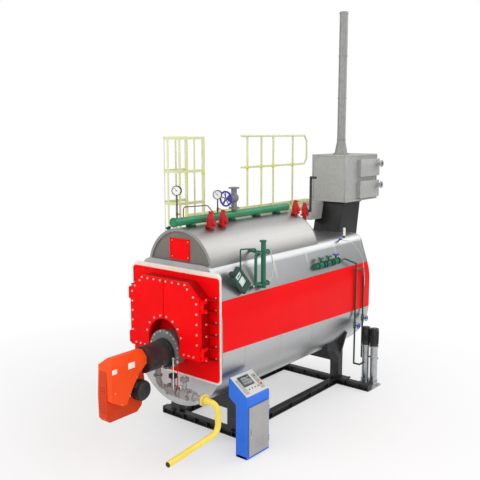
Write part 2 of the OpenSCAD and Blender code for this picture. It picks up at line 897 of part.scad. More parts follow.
module safety_vent_pipe() {
    z0 = rear_relief_z + 100;
    x0 = relief_r + fit;
    color("#2a2b2d") difference() {
        bar_run([[0, rear_relief_y, z0], [x0 + 70, rear_relief_y, z0], [x0 + 70, rear_relief_y, z0 + 640],
            [x0 + 190, rear_relief_y, z0 + 640]], 24);
        rod([0, rear_relief_y, z0 - 200], [0, rear_relief_y, z0 + 200], x0);
    }
}

module main_steam_valve() {
    z0 = manifold_z + manifold_r;
    h = 360;
    color("#9aa0a3") difference() {
        union() {
            translate([0, valve_y, z0 - 20]) cylinder(h = 60, r = manifold_r * 0.75);
            translate([0, valve_y, z0 + 30]) cylinder(h = valve_flange_t, r = valve_flange_r);
            translate([0, valve_y, z0 + 30]) cylinder(h = h, r = outlet_bore_r + 16);
            translate([0, valve_y, z0 + 30 + h / 2]) sphere(r = 82);
            translate([0, valve_y, z0 + 30 + h - valve_flange_t])
                cylinder(h = valve_flange_t, r = valve_flange_r);
            rod([0, valve_y, z0 + 30 + h / 2], [0, valve_y - 150, z0 + 30 + h / 2], 36);
            rod([0, valve_y, z0 + 30 + h / 2], [0, valve_y - 236, z0 + 30 + h / 2], spindle_d / 2);
        }
        translate([0, valve_y, z0 + 100]) cylinder(h = h, r = outlet_bore_r);
        for (a = [22.5 : 45 : 360])
            translate([0, valve_y, z0 + 30 + h - valve_flange_t - eps])
                translate([outlet_pcd / 2 * cos(a), outlet_pcd / 2 * sin(a), 0])
                cylinder(h = valve_flange_t + 2 * eps, d = outlet_hole_d);
        translate([-200, valve_y - 200, z0 - 200]) cube([400, 400, 200]);
    }
}

wheel_z = manifold_z + manifold_r + 210;
wheel_y = valve_y - 200;

module steam_handwheel() {
    color("#2b3bb0") difference() {
        union() {
            translate([0, wheel_y, wheel_z]) rotate([90, 0, 0])
                rotate_extrude() translate([wheel_r - wheel_rim_r, 0]) circle(r = wheel_rim_r, $fn = 24);
            rod([0, wheel_y - 16, wheel_z], [0, wheel_y + 16, wheel_z], spindle_d / 2 + 12);
            for (a = [0 : 120 : 240]) rod([0, wheel_y, wheel_z] + 18 * [cos(a), 0, sin(a)],
                [0, wheel_y, wheel_z] + (wheel_r - wheel_rim_r) * [cos(a), 0, sin(a)], wheel_rim_r * 0.7);
        }
        rod([0, wheel_y - 30, wheel_z], [0, wheel_y + 30, wheel_z], spindle_d / 2 + wheel_clear);
    }
}

// A round dial on a stem, facing a direction in plan
module dial(at, stem, turn) {
    translate(at) {
        cylinder(h = stem, r = 11);
        translate([0, 0, stem + dial_r - 4]) rotate([0, 0, turn]) rotate([90, 0, 0])
            translate([0, 0, -22]) cylinder(h = 44, r = dial_r);
    }
}

module pressure_gauges() {
    color("#e8e8e6") {
        dial([0, manifold_y + 81, manifold_z + manifold_r + fit], 349, 30);
        dial([0, valve_y - 420, manifold_z + manifold_r + fit], 220, 30);
    }
}

// Level gauge column with its glass and the pipes to drum and casing
gauge_x = casing_r - 34;
gauge_y = 380;
gauge_z = casing_z + 662;

module level_gauge() {
    glass_y = gauge_y - 185;
    low = gauge_z + 60;
    high = gauge_z + column_h * 0.74;
    color("#0f6b4f") {
        rod([gauge_x, gauge_y, gauge_z], [gauge_x, gauge_y, gauge_z + column_h], column_r);
        for (z = [low, high]) {
            rod([gauge_x, gauge_y, z - 13], [gauge_x, gauge_y, z + 13], column_r + 26);
            rod([gauge_x, glass_y, z], [gauge_x, gauge_y, z], 24);
            translate([gauge_x, glass_y, z]) sphere(r = 42);
            rod([gauge_x, gauge_y, z], [gauge_x, gauge_y + 130, z], 26);
        }
        rod([gauge_x, glass_y, low], [gauge_x, glass_y, high], 17);
        difference() {
            for (z = [low, high]) rod([0, gauge_y, z], [gauge_x, gauge_y, z], 22);
            casing_room(2.5 * fit);
            drum_room();
            translate([-casing_r, gauge_y - 60, casing_clear]) cube([casing_r * 1.55, 120, 4000]);
        }
    }
}

module level_transmitter() {
    x = casing_r - 50;
    y = -175;
    z = casing_z + 870;
    tilt = 43;
    color("#0c4a3c") difference() {
        union() {
            translate([x, y, z]) rotate([tilt, 0, 0]) translate([-40, -105, -207]) cube([80, 210, 414]);
            rod([x, y + 102, z - 110], [x - 200, y + 102, z - 110], 22);
        }
        translate([x, y, z]) rotate([tilt, 0, 0]) translate([-60, -66, -95]) cube([120, 132, 262]);
        casing_room();
    }
}

// Feed line with its valves on the casing's shoulder
feed_at = shoulder_low + 0.44 * (shoulder_high - shoulder_low) + (feed_r + 30 + 2 * fit) * shoulder_n;
feed_y = 1937;

module feed_valves() {
    x = feed_at.x;
    z = feed_at.y;
    color("#0f6b4f") {
        rod([x, feed_y, z], [x, feed_y + feed_len, z], feed_r);
        for (f = [0.2, 0.5, 0.8]) {
            y = feed_y + f * feed_len;
            translate([x, y, z]) sphere(r = feed_r + 26);
            for (s = [-1, 1]) rod([x, y + s * 80 - 9, z], [x, y + s * 80 + 9, z], feed_r + 30);
            rod([x, y, z], [x, y, z + 130], 20);
            rod([x, y, z + 120], [x, y, z + 138], 58);
        }
        difference() {
            for (f = [0.05, 0.95])
                rod([x, feed_y + f * feed_len, z], [x - 300, feed_y + f * feed_len, z - 100], 26);
            casing_room();
        }
    }
}

pump_x = cross_len / 2 + 147;
pump_y = beam_pitch + beam_w / 2 + 250;

// Down pipes over the band to the feed pumps
module feed_down_pipes() {
    x = band_out + 24;
    y0 = feed_y + feed_len + fit;
    y1 = pump_y - 239;
    y2 = pump_y + 58;
    z0 = beam_h + 330;
    end = pump_r + 20 + fit;
    y3 = pump_y + 2 * pump_r + 10;
    color("#1b5e46") {
        bar_run([[feed_at.x, y0, feed_at.y], [feed_at.x, y0 + 160, feed_at.y], [x, y1, feed_at.y - 120],
            [x, y1, z0], [pump_x, y1, z0], [pump_x, pump_y - end, z0]], down_r);
        bar_run([[x, y1, feed_at.y - 240], [x, y2, feed_at.y - 240], [x, y2, z0 + 60], [x, y3, z0 + 60],
            [pump_x + pump_pitch, y3, z0 + 60], [pump_x + pump_pitch, pump_y + end, z0 + 60]], down_r);
        translate([x, y1, feed_at.y - 240]) sphere(r = down_r * 1.5);
    }
}

module feed_pumps() {
    color("#a9adb0") {
        for (k = [0, 1]) translate([pump_x + k * pump_pitch, pump_y, 0]) {
            cylinder(h = beam_h, r = pump_r + 12);
            cylinder(h = beam_h + pump_h, r = pump_r);
            translate([0, 0, beam_h + pump_h - 30]) cylinder(h = 30, r = pump_r + 14);
            translate([0, 0, beam_h + 330 + 60 * k]) rotate([90 - 180 * k, 0, 0])
                cylinder(h = pump_r + 20, r = down_r + 7);
        }
        translate([pump_x - 110, beam_pitch + beam_w / 2, 0])
            cube([pump_pitch + 220, pump_y - beam_pitch - beam_w / 2 + 110, 30]);
    }
}

module pump_motors() {
    color("#1e2224") for (k = [0, 1]) translate([pump_x + k * pump_pitch, pump_y, beam_h + pump_h]) {
        cylinder(h = pump_motor_h, r = pump_r + 8);
        translate([-45, -pump_r - 26, 90]) cube([90, 40, 110]);
    }
}

// Flue duct from the casing's rear up to the economizer
module duct_outline(i, lift) {
    polygon([[rear_y - 283 + i, casing_top - 298], [eco_y + 81 + i, eco_z + lift],
        [eco_y + 730 - i, eco_z + lift], [rear_y + 417 - i, casing_top - 399 + i],
        [rear_y + 163 - i, casing_top - 653 + i], [rear_y, casing_top - 653 + i]]);
}

module flue_duct() {
    color("#1d1e20") difference() {
        along_x(-duct_w / 2, duct_w) duct_outline(0, 0);
        along_x(-duct_w / 2 + duct_wall, duct_w - 2 * duct_wall) duct_outline(duct_wall, eps);
        along_y(front_y, casing_len) oval(fit);
    }
}

module duct_front_box() {
    color("#c9cdcd") difference() {
        translate([-380, front_box_y, eco_z - 355]) cube([220, eco_y - front_box_y + 100, 355]);
        along_x(-duct_w, duct_w) duct_outline(0, 0);
    }
}

module economizer_casing() {
    lip = 25;
    color("#b4b6b4") difference() {
        union() {
            translate([-eco_w / 2, eco_y, eco_z]) cube([eco_w, eco_len, eco_h]);
            translate([-eco_w / 2 - lip, eco_y - lip, eco_z]) cube([eco_w + 2 * lip, eco_len + 2 * lip, 30]);
        }
        translate([-eco_w / 2 + eco_wall, eco_y + eco_wall, eco_z + eco_wall])
            cube([eco_w - 2 * eco_wall, eco_len - 2 * eco_wall, eco_h - 2 * eco_wall]);
        translate([0, stack_y, eco_top - eco_wall - eps]) cylinder(h = eco_wall + 2 * eps, r = stack_bore_r);
    }
}

module economizer_headers() {
    y0 = eco_y + 466;
    w = eco_len - 477;
    color("#9a9c9a") for (z = [eco_z + 60, eco_z + 500]) {
        translate([eco_w / 2, y0, z]) cube([70, w, 330]);
        rod([eco_w / 2 + 70, y0 + w - 90, z + 240], [eco_w / 2 + 190, y0 + w - 90, z + 240], 38);
        rod([eco_w / 2 + 172, y0 + w - 90, z + 240], [eco_w / 2 + 190, y0 + w - 90, z + 240], 72);
    }
}

module stack() {
    color("#9fa1a1") translate([0, stack_y, eco_top]) difference() {
        union() {
            cylinder(h = 20, r = cone_r + 30);
            cylinder(h = cone_h, r1 = cone_r, r2 = stack_r);
            cylinder(h = stack_h, r = stack_r);
        }
        translate([0, 0, -eps]) cylinder(h = stack_h + 2 * eps, r = stack_bore_r);
    }
}

// Platform on the left side with its ladder and railings
module platform_deck() {
    color("#d9dca8") translate([-deck_out, deck_front, deck_z - deck_t]) cube([deck_w, deck_len, deck_t]);
}

module platform_brackets() {
    x = band_out + fit;
    color("#d3d6a2") for (f = [0.06, 0.4, 0.74]) {
        y = deck_front + f * deck_len;
        translate([-x - 60, y - 35, casing_z - 200]) cube([60, 70, deck_z - deck_t - casing_z + 200]);
        translate([-deck_out + 20, y - 35, deck_z - deck_t - 70]) cube([deck_out - 20 - x, 70, 70]);
        along_y(y - 20, 40) polygon([[-x - 50, deck_z - deck_t - 620], [-x - 50, deck_z - deck_t - 540],
            [-deck_out + 110, deck_z - deck_t - 70], [-deck_out + 40, deck_z - deck_t - 70]]);
    }
}

module platform_railing() {
    x = -deck_out + rail_r + 10;
    y0 = deck_front + rail_start;
    y1 = deck_end - rail_r - 10;
    color("#dfe39a") {
        for (f = [0.084, 0.284, 0.46, 0.766]) rod([x, y0 + f * (y1 - y0), deck_z], [x, y0 + f * (y1 - y0),
            deck_z + rail_h], rail_r);
        bar_run([[x, y0, deck_z + rail_h], [x, y1 - 90, deck_z + rail_h], [x, y1, deck_z + rail_h - 120],
            [x, y1, deck_z + mid_rail_h + 120], [x, y1 - 90, deck_z + mid_rail_h],
            [x, y0, deck_z + mid_rail_h]], rail_r);
    }
}

module ladder() {
    color("#dcdfa0") for (x = [-deck_out + 30, -deck_in - 30]) {
        translate([x - 30, ladder_y - 12, 0]) cube([60, 24, deck_z + rail_h]);
        translate([x - 30, ladder_y + 11, deck_z - deck_t]) cube([60, 49, deck_t]);
    }
    color("#dcdfa0") for (z = [rung_pitch : rung_pitch : deck_z])
        rod([-deck_out + 30, ladder_y, z], [-deck_in - 30, ladder_y, z], rung_r);
}

module hoop_shape(i) {
    w = deck_w / 2 - i;
    y = ladder_y - 12 - fit;
    translate([-deck_in - deck_w / 2, y - hoop_out + deck_w / 2]) circle(r = w, $fn = 96);
    translate([-deck_in - deck_w / 2 - w, y - hoop_out + deck_w / 2]) square([2 * w, hoop_out - deck_w / 2]);
}

module ladder_cage() {
    x = -deck_in - deck_w / 2;
    y = ladder_y - 12 - fit - hoop_out + deck_w / 2;
    w = deck_w / 2 - 14;
    h = deck_z + rail_h - 2300;
    color("#e3e66a") {
        for (z = [2300, 3000, 3620, deck_z + mid_rail_h, deck_z + rail_h - 50]) translate([0, 0, z])
            linear_extrude(50) difference() {
                hoop_shape(0);
                hoop_shape(8);
                translate([x - deck_w, ladder_y - 12 - fit]) square([2 * deck_w, 100]);
            }
        for (a = [-145, -90, -35]) translate([x, y, 0]) rotate([0, 0, a]) translate([w, -20, 2300])
            cube([6.5, 40, h]);
        for (s = [-1, 1]) translate([s > 0 ? x + w : x - w - 6.5, y + 180, 2300]) cube([6.5, 40, h]);
    }
}

// Control desk
module desk_cabinet() {
    y = -desk_front;
    color("#2f6bd8") {
        difference() {
            along_y(y, desk_w) polygon([[desk_back, 0], [desk_x, 0], [desk_x, desk_edge_h],
                [desk_back - desk_head, desk_h], [desk_back - desk_head, desk_h - 300],
                [desk_back, desk_low_h - 40]]);
            translate([desk_x - desk_d + 20, y + 60, 60]) cube([desk_d, desk_w - 120, desk_low_h - 120]);
        }
        desk_hinges();
    }
}

desk_pin_x = desk_x + desk_seal + desk_door_t / 2;
desk_edge_y = -desk_front + desk_w - 35;
desk_pin_y = desk_edge_y + desk_door_t / 2 + 5;

// Heights of the desk door's hinges
function desk_hinge(k) = desk_low_h * (k == 0 ? 0.22 : 0.78);

module desk_door() {
    y0 = -desk_front + 35;
    color("#aeb2b8") difference() {
        union() {
            translate([desk_x + desk_seal, y0, 45]) cube([desk_door_t, desk_edge_y - y0, desk_low_h - 90]);
            translate([desk_x + desk_seal + desk_door_t, y0 + 30, desk_low_h / 2 - 40]) cube([16, 24, 80]);
            for (k = [0, 1]) {
                translate([desk_pin_x, desk_pin_y, desk_hinge(k) - 20]) cylinder(h = 40, d = desk_door_t);
                translate([desk_pin_x - desk_door_t / 2 + 2, desk_edge_y - 4, desk_hinge(k) - 20])
                    cube([desk_door_t - 4, desk_pin_y - desk_edge_y + 4, 40]);
            }
        }
        for (k = [0, 1]) translate([desk_pin_x, desk_pin_y, desk_hinge(k) - 30])
            cylinder(h = 60, d = desk_pin_d + 2 * fit);
    }
}

module desk_hinges() {
    for (k = [0, 1]) {
        for (z = [desk_hinge(k) - 42, desk_hinge(k) + 22]) {
            translate([desk_pin_x, desk_pin_y, z]) cylinder(h = 20, d = desk_door_t);
            translate([desk_x - eps, desk_pin_y - desk_door_t / 2, z])
                cube([desk_pin_x - desk_x + eps, desk_door_t, 20]);
        }
        translate([desk_pin_x, desk_pin_y, desk_hinge(k) - 42]) cylinder(h = 84, d = desk_pin_d);
    }
}

module desk_console() {
    y = -desk_front;
    dx = desk_back - desk_head - desk_x;
    dz = desk_h - desk_edge_h;
    len = norm([dx, dz]);
    n = [dz, -dx] / len;
    color("#cfd3d2") along_y(y + 12, desk_w - 24) polygon([[desk_x, desk_edge_h] + 0.05 * [dx, dz],
        [desk_x, desk_edge_h] + 0.97 * [dx, dz], [desk_x, desk_edge_h] + 0.97 * [dx, dz] + 14 * n,
        [desk_x, desk_edge_h] + 0.05 * [dx, dz] + 14 * n]);
}

front_beam();
rear_beam();
left_beam();
right_beam();
front_saddle();
rear_saddle();
main_shell();
front_end_plate();
rear_end_cover();
drum_shell();
drum_front_plate();
drum_rear_head();
drum_square_plate();
left_band();
right_band();
casing_panel();
smokebox_flange();
tube_plate();
smokebox_body();
left_hinges();
right_hinges();
left_door();
right_door();
burner_throat();
burner_head();
burner_housing();
burner_fan();
burner_motor();
gas_train();
gas_inlet_pipe();
steam_manifold();
safety_valves();
safety_vent_pipe();
main_steam_valve();
steam_handwheel();
pressure_gauges();
level_gauge();
level_transmitter();
feed_valves();
feed_down_pipes();
feed_pumps();
pump_motors();
flue_duct();
duct_front_box();
economizer_casing();
economizer_headers();
stack();
platform_deck();
platform_brackets();
platform_railing();
ladder();
ladder_cage();
desk_cabinet();
desk_door();
desk_console();
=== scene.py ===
"""Dresses the steam boiler's frame for its picture: finishes, fasteners and small fittings.

Lengths are metres in the frame's own axes: the burner faces -Y, the boiler runs back along +Y and
+Z is up. Places come from the frame's nodes, so the fittings follow them.
"""

import json
import logging
import math
from collections.abc import Callable, Sequence
from dataclasses import dataclass, field
from enum import Enum

import bmesh
import bpy
from mathutils import Euler, Matrix, Vector

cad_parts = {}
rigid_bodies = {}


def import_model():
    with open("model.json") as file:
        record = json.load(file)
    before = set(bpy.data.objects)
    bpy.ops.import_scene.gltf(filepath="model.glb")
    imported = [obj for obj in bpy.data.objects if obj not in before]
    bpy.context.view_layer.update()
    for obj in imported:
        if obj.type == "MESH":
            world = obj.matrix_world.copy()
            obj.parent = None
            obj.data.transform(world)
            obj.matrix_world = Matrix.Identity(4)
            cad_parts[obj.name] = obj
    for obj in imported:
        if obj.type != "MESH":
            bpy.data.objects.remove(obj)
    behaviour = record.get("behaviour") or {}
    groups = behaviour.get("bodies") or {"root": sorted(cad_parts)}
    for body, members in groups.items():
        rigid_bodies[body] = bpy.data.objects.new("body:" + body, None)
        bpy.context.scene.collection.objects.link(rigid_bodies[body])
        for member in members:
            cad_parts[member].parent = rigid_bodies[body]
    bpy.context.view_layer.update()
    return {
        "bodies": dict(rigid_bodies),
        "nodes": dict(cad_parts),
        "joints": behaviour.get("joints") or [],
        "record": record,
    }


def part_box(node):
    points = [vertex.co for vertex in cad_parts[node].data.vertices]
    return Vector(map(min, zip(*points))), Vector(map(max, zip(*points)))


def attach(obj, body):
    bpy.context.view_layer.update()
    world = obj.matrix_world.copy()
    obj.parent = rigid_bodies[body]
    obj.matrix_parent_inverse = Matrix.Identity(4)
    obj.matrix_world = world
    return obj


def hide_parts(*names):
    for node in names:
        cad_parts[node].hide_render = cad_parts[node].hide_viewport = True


log = logging.getLogger("boiler")

MM = 0.001
UP = Vector((0, 0, 1))
X = Vector((1, 0, 0))
Y = Vector((0, 1, 0))
# The paint-thin space that keeps touching sheets from showing through each other
GAP = 0.3 * MM
Outline = Sequence[tuple[float, float]]
Section = Sequence[tuple[Vector, Vector]]
# Where a shape stands: a plain point, or a place that also turns it
Place = Matrix | Vector
Tree = bpy.types.NodeTree
Socket = bpy.types.NodeSocket


class Body(Enum):
    """The bodies of the frame that a piece can ride on."""

    BOILER = "boiler"
    RIGHT_DOOR = "right_door"
    LEFT_DOOR = "left_door"
    DESK_DOOR = "desk_door"
    HANDWHEEL = "steam_handwheel"


def linear(code: str) -> tuple[float, float, float, float]:
    """Turns an sRGB hex colour to linear values.

    Args:
        code: Colour as "#RRGGBB".

    Returns:
        Linear red, green and blue with an alpha of 1.
    """
    parts = [int(code[k : k + 2], 16) / 255 for k in (1, 3, 5)]
    line = [p / 12.92 if p <= 0.04045 else ((p + 0.055) / 1.055) ** 2.4 for p in parts]
    return (line[0], line[1], line[2], 1.0)


def add_node(
    tree: Tree, kind: str, settings: dict | None = None, links: dict | None = None
) -> bpy.types.Node:
    """Adds a node to a tree, with its settings and the links into it.

    Args:
        tree: The shader or geometry tree.
        kind: The node's type name.
        settings: Values by attribute name, or by input name or number.
        links: Output sockets by the name or number of the input that they feed.

    Returns:
        The new node.
    """
    node = tree.nodes.new(kind)
    for name, value in (settings or {}).items():
        if isinstance(name, str) and hasattr(node, name):
            setattr(node, name, value)
        else:
            node.inputs[name].default_value = value
    for name, source in (links or {}).items():
        tree.links.new(source, node.inputs[name])
    return node


def cleared(owner: bpy.types.ID) -> Tree:
    """Turns on the nodes of a material or world, and returns its tree without any node."""
    owner.use_nodes = True
    owner.node_tree.nodes.clear()
    return owner.node_tree


def linked(name: str, data: bpy.types.ID) -> bpy.types.Object:
    """Makes an object of a mesh, light or camera, and links it to the scene."""
    made = bpy.data.objects.new(name, data)
    bpy.context.scene.collection.objects.link(made)
    return made


def wire(tree: Tree, kind: str, settings: dict | None = None, links: dict | None = None) -> Socket:
    """Adds a node as add_node does, and returns its first output."""
    return add_node(tree, kind, settings, links).outputs[0]


@dataclass(frozen=True)
class Finish:
    """A surface with soft patches of a second tone, a little dust and a fine grain.

    Sizes of patterns are the real ones in millimetres. stretch draws the patches and the grain
    out along an axis where it is below 1.
    """

    name: str
    base: str
    tone: str
    rough: float
    metal: float = 0.0
    coat: float = 0.0
    gloss: float = 0.5
    patch_mm: float = 420.0
    patch: float = 0.5
    grain_mm: float = 6.0
    grain_depth_mm: float = 0.1
    stretch: tuple[float, float, float] = (1.0, 1.0, 1.0)
    dust: str = "#8D877C"
    dust_share: float = 0.12

    def material(self) -> bpy.types.Material:
        """Returns the finish's material, which is made the first time it is asked for."""
        made = bpy.data.materials.get(self.name)
        return made if made else self._build()

    def _build(self) -> bpy.types.Material:
        """Builds the node tree: patches, dust, roughness and grain into one Principled shader."""
        material = bpy.data.materials.new(self.name)
        tree = cleared(material)
        place = add_node(tree, "ShaderNodeTexCoord").outputs["Object"]
        drawn = wire(tree, "ShaderNodeMapping", {"Scale": self.stretch}, {"Vector": place})
        patches = self._noise(tree, drawn, self.patch_mm, 4)
        share = self._ramp(tree, patches, 0.38, 0.62, 0.0, self.patch)
        colour = self._blend(tree, share, linear(self.base), linear(self.tone))
        specks = self._noise(tree, place, self.patch_mm * 0.35, 5)
        dusty = self._ramp(tree, specks, 0.5, 0.75, 0.0, self.dust_share)
        colour = self._blend(tree, dusty, colour, linear(self.dust))
        least, most = max(self.rough - 0.05, 0.03), min(self.rough + 0.07, 1.0)
        rough = self._ramp(tree, patches, 0.3, 0.7, least, most)
        grain = self._noise(tree, drawn, self.grain_mm, 2)
        bump = add_node(
            tree, "ShaderNodeBump", {"Strength": 0.4, "Distance": self.grain_depth_mm * MM}, {"Height": grain}
        )
        settings = {
            "Metallic": self.metal, "Coat Weight": self.coat, "Coat Roughness": 0.12,
            "Specular IOR Level": self.gloss,
        }
        links = {"Base Color": colour, "Roughness": rough, "Normal": self._relief(tree, place, bump.outputs[0])}
        shader = add_node(tree, "ShaderNodeBsdfPrincipled", settings, links)
        add_node(tree, "ShaderNodeOutputMaterial", {}, {"Surface": shader.outputs[0]})
        return material

    def _noise(self, tree: Tree, place: Socket, size_mm: float, detail: float) -> Socket:
        """Returns a noise whose features are about size_mm across."""
        settings = {"Scale": 1 / (size_mm * MM), "Detail": detail, "Roughness": 0.55}
        return wire(tree, "ShaderNodeTexNoise", settings, {"Vector": place})

    def _ramp(self, tree: Tree, value: Socket, a: float, b: float, lo: float, hi: float) -> Socket:
        """Returns value taken from the range a to b to the range lo to hi, and held inside it."""
        settings = {"From Min": a, "From Max": b, "To Min": lo, "To Max": hi}
        return wire(tree, "ShaderNodeMapRange", settings, {"Value": value})

    def _blend(self, tree: Tree, share: Socket, first: object, second: object) -> Socket:
        """Returns the mix of two colours, each a fixed one or a socket."""
        node = add_node(tree, "ShaderNodeMix", {"data_type": "RGBA"}, {0: share})
        for socket, value in ((node.inputs[6], first), (node.inputs[7], second)):
            if isinstance(value, Socket):
                tree.links.new(value, socket)
            else:
                socket.default_value = value
        return node.outputs[2]

    def _relief(self, tree: Tree, place: Socket, normal: Socket) -> Socket:
        """Lets a special finish add to the relief; a plain one leaves it."""
        return normal


@dataclass(frozen=True)
class Cladding(Finish):
    """Brushed stainless sheet: fine lines along the sheet and slow waves from its fixings."""

    wave_mm: float = 900.0
    wave_depth_mm: float = 6.0

    def _relief(self, tree: Tree, place: Socket, normal: Socket) -> Socket:
        """Adds the sheet's slow waves, which break up its reflections."""
        drawn = wire(tree, "ShaderNodeMapping", {"Scale": (1, 0.45, 1)}, {"Vector": place})
        waves = self._noise(tree, drawn, self.wave_mm, 1)
        settings = {"Strength": 0.5, "Distance": self.wave_depth_mm * MM}
        return wire(tree, "ShaderNodeBump", settings, {"Height": waves, "Normal": normal})


@dataclass(frozen=True)
class TreadPlate(Finish):
    """Painted tread plate: raised bars in two crossed directions."""

    pitch_mm: float = 60.0

    def _relief(self, tree: Tree, place: Socket, normal: Socket) -> Socket:
        """Adds the tread's raised bars."""
        settings = {"Scale": 1 / (self.pitch_mm * MM)}
        bars = add_node(tree, "ShaderNodeTexChecker", settings, {"Vector": place}).outputs[1]
        return wire(
            tree, "ShaderNodeBump", {"Strength": 0.6, "Distance": 2 * MM}, {"Height": bars, "Normal": normal}
        )


# Gloss red enamel, sprayed: saturated and shiny, a little darker in patches
RED = Finish("red_enamel", "#FA060C", "#E9050B", 0.38, gloss=0.06, grain_depth_mm=0.05, dust_share=0.012)
# The same enamel, darker as painted shade inside the smokebox's recesses
SHADED_RED = Finish("red_enamel_painted_shade", "#B00508", "#8A0406", 0.5, gloss=0.08, dust_share=0.02)
# Red enamel on cast valve bodies, darker than the doors
VALVE_RED = Finish("valve_red_enamel", "#C90F16", "#9E0A10", 0.38, gloss=0.3, patch_mm=60, dust_share=0.05)
# Red enamel on the cladding band
BAND_RED = Finish("band_red_enamel", "#F5080F", "#E8070D", 0.36, gloss=0.08, patch_mm=900, dust_share=0.012)
# Brushed stainless cladding: bright, with lines along the sheet
STEEL = Cladding(
    "brushed_stainless_cladding", "#BFC0C1", "#A5A6A8", 0.34, metal=1.0, patch_mm=500,
    grain_mm=14, stretch=(1.0, 0.06, 1.0), dust_share=0.06,
)
# The same sheet rolled round the upper drum, painted darker as shade for the drum's duller reflections
SHADED_DRUM_STEEL = Cladding(
    "drum_stainless_painted_shade", "#AAA9A7", "#949391", 0.42, metal=1.0, patch_mm=600,
    grain_mm=14, stretch=(1.0, 0.06, 1.0), dust_share=0.08,
)
# A newer sheet over the drum's side, paler than the rest
NEW_STEEL = Cladding(
    "new_stainless_sheet", "#B9B9B8", "#ABABAA", 0.38, metal=1.0, patch_mm=300,
    grain_mm=14, stretch=(1.0, 0.06, 1.0), dust_share=0.02,
)
# Satin grey paint on rolled plate
DARK_GREY = Finish("dark_grey_plate_paint", "#78736C", "#67625C", 0.5, dust_share=0.2)
# Satin pale grey on the duct's small box
PLATE_GREY = Finish("pale_grey_plate_paint", "#B5B4B0", "#A6A5A1", 0.45)
# Cream insulation board behind the flange
CREAM = Finish("cream_board", "#F2EEE4", "#E5DFD0", 0.6)
# Semi-gloss black paint on hot rolled beams, with dust in its patches
BLACK_STEEL = Finish("black_beam_paint", "#1E1F22", "#2B2C2F", 0.42, dust_share=0.14)
# Black lacquer on the burner's head and the motors' cast housings
BLACK_CAST = Finish("black_cast_lacquer", "#232426", "#303133", 0.4, grain_mm=4, grain_depth_mm=0.3)
# Heat-proof black on the duct, glossier than the beams
DUCT_BLACK = Finish("duct_black_lacquer", "#101112", "#1C1D1E", 0.34, gloss=0.35, dust_share=0.04)
# Gloss orange powder coat on the burner
ORANGE = Finish("orange_powder_coat", "#FF5219", "#F54A14", 0.36, gloss=0.15, dust_share=0.02)
# The same powder coat, deeper and duller as painted shade on the burner's fan and its louvres
SHADED_ORANGE = Finish("orange_powder_coat_painted_shade", "#DC4415", "#C03A12", 0.42, gloss=0.15, dust_share=0.05)
# Bare grey casting, rough from the sand mould
CAST_GREY = Finish("grey_casting", "#8C8C8A", "#70706E", 0.55, metal=0.35, grain_mm=3, grain_depth_mm=0.4)
# Castings of the gas train, paler than the valves
TRAIN_GREY = Finish(
    "gas_train_casting", "#A9A9A6", "#878785", 0.45, metal=0.3, patch_mm=90, grain_mm=3, grain_depth_mm=0.3
)
# Grey cast ring, dulled and mottled by heat
RING_GREY = Finish("heated_cast_ring", "#7F8382", "#5F6261", 0.5, metal=0.4, grain_mm=3, grain_depth_mm=0.3)
# Zinc-plated fasteners: pale and bright
ZINC = Finish("zinc_plate", "#D9D7CF", "#BDBBB4", 0.3, metal=0.7, patch_mm=20, dust_share=0.05)
# Gas yellow pipe paint
YELLOW = Finish("gas_yellow_paint", "#F4DE58", "#E8CF48", 0.4, dust_share=0.08)
# Pipe greens: the manifold is brighter than the gauge's castings
MANIFOLD_GREEN = Finish("manifold_green_paint", "#17885B", "#11754C", 0.38, dust_share=0.06)
GREEN = Finish("casting_green_paint", "#11694D", "#0C543D", 0.42, dust_share=0.06)
DARK_GREEN = Finish("dark_green_paint", "#0E4435", "#0A3327", 0.42, dust_share=0.06)
# Pale yellow-green rail paint, with brighter yellow sleeves
RAIL = Finish("pale_rail_paint", "#E3E6B4", "#D8DBA2", 0.45, dust_share=0.05)
# Bright yellow at the rail joints
SLEEVE = Finish("yellow_sleeve_paint", "#E9EE62", "#DCE250", 0.4, dust_share=0.04)
# Pale tread plate with dust between its raised bars
DECK = TreadPlate("pale_tread_plate", "#DDE0B0", "#CDD09C", 0.5, dust_share=0.25)
# Galvanised sheet on the economizer and its stack
ZINC_SHEET = Finish("galvanised_sheet", "#B3B3B0", "#A4A4A2", 0.42, metal=0.25, patch_mm=60)
# The same sheet on the stack, a shade darker
STACK_GREY = Finish("galvanised_stack", "#989997", "#868785", 0.42, metal=0.3, patch_mm=90)
# Blue and grey enamel of the control desk
BLUE = Finish("blue_enamel", "#2A74EA", "#256ADC", 0.35, gloss=0.3, dust_share=0.02)
# Even mid grey on the desk's door
DESK_GREY = Finish("grey_enamel", "#ABA9A8", "#9F9D9C", 0.42, dust_share=0.04)
# Pale grey-green of the sloping console, with little shine
CONSOLE = Finish("pale_console_enamel", "#CDD0CC", "#C2C5C2", 0.4, dust_share=0.03)
# Violet blue handwheels with a wet-looking coat
WHEEL_BLUE = Finish("violet_blue_enamel", "#3A36B8", "#2B2A9C", 0.35, coat=0.2)
# Polished stainless on the pumps: small, sharp highlights
PUMP_STEEL = Finish("polished_pump_steel", "#B9BCBE", "#A0A3A6", 0.22, metal=0.85, patch_mm=80)
# Clean white for dials and blank plates
WHITE = Finish("white_enamel", "#F4F4F0", "#E9E9E4", 0.35, dust_share=0.02)
# Moulded black caps and covers, with a soft sheen
BLACK_PLASTIC = Finish("black_plastic", "#161719", "#1F2022", 0.45, grain_mm=2, dust_share=0.04)
# Dark glass that mirrors the lamps
SCREEN = Finish("dark_screen_glass", "#1A2528", "#22343A", 0.08, coat=0.6, patch_mm=90, dust_share=0.0)
# Pale marks that make the screen read as lit
SCREEN_MARK = Finish("pale_screen_marks", "#9FB9B5", "#86A5A0", 0.4, patch_mm=30, dust_share=0.0)
# Chalky pink on one impulse pipe
PALE_PINK = Finish("pale_pink_tube_paint", "#E8C9C2", "#DDB4AC", 0.4, patch_mm=60, dust_share=0.05)
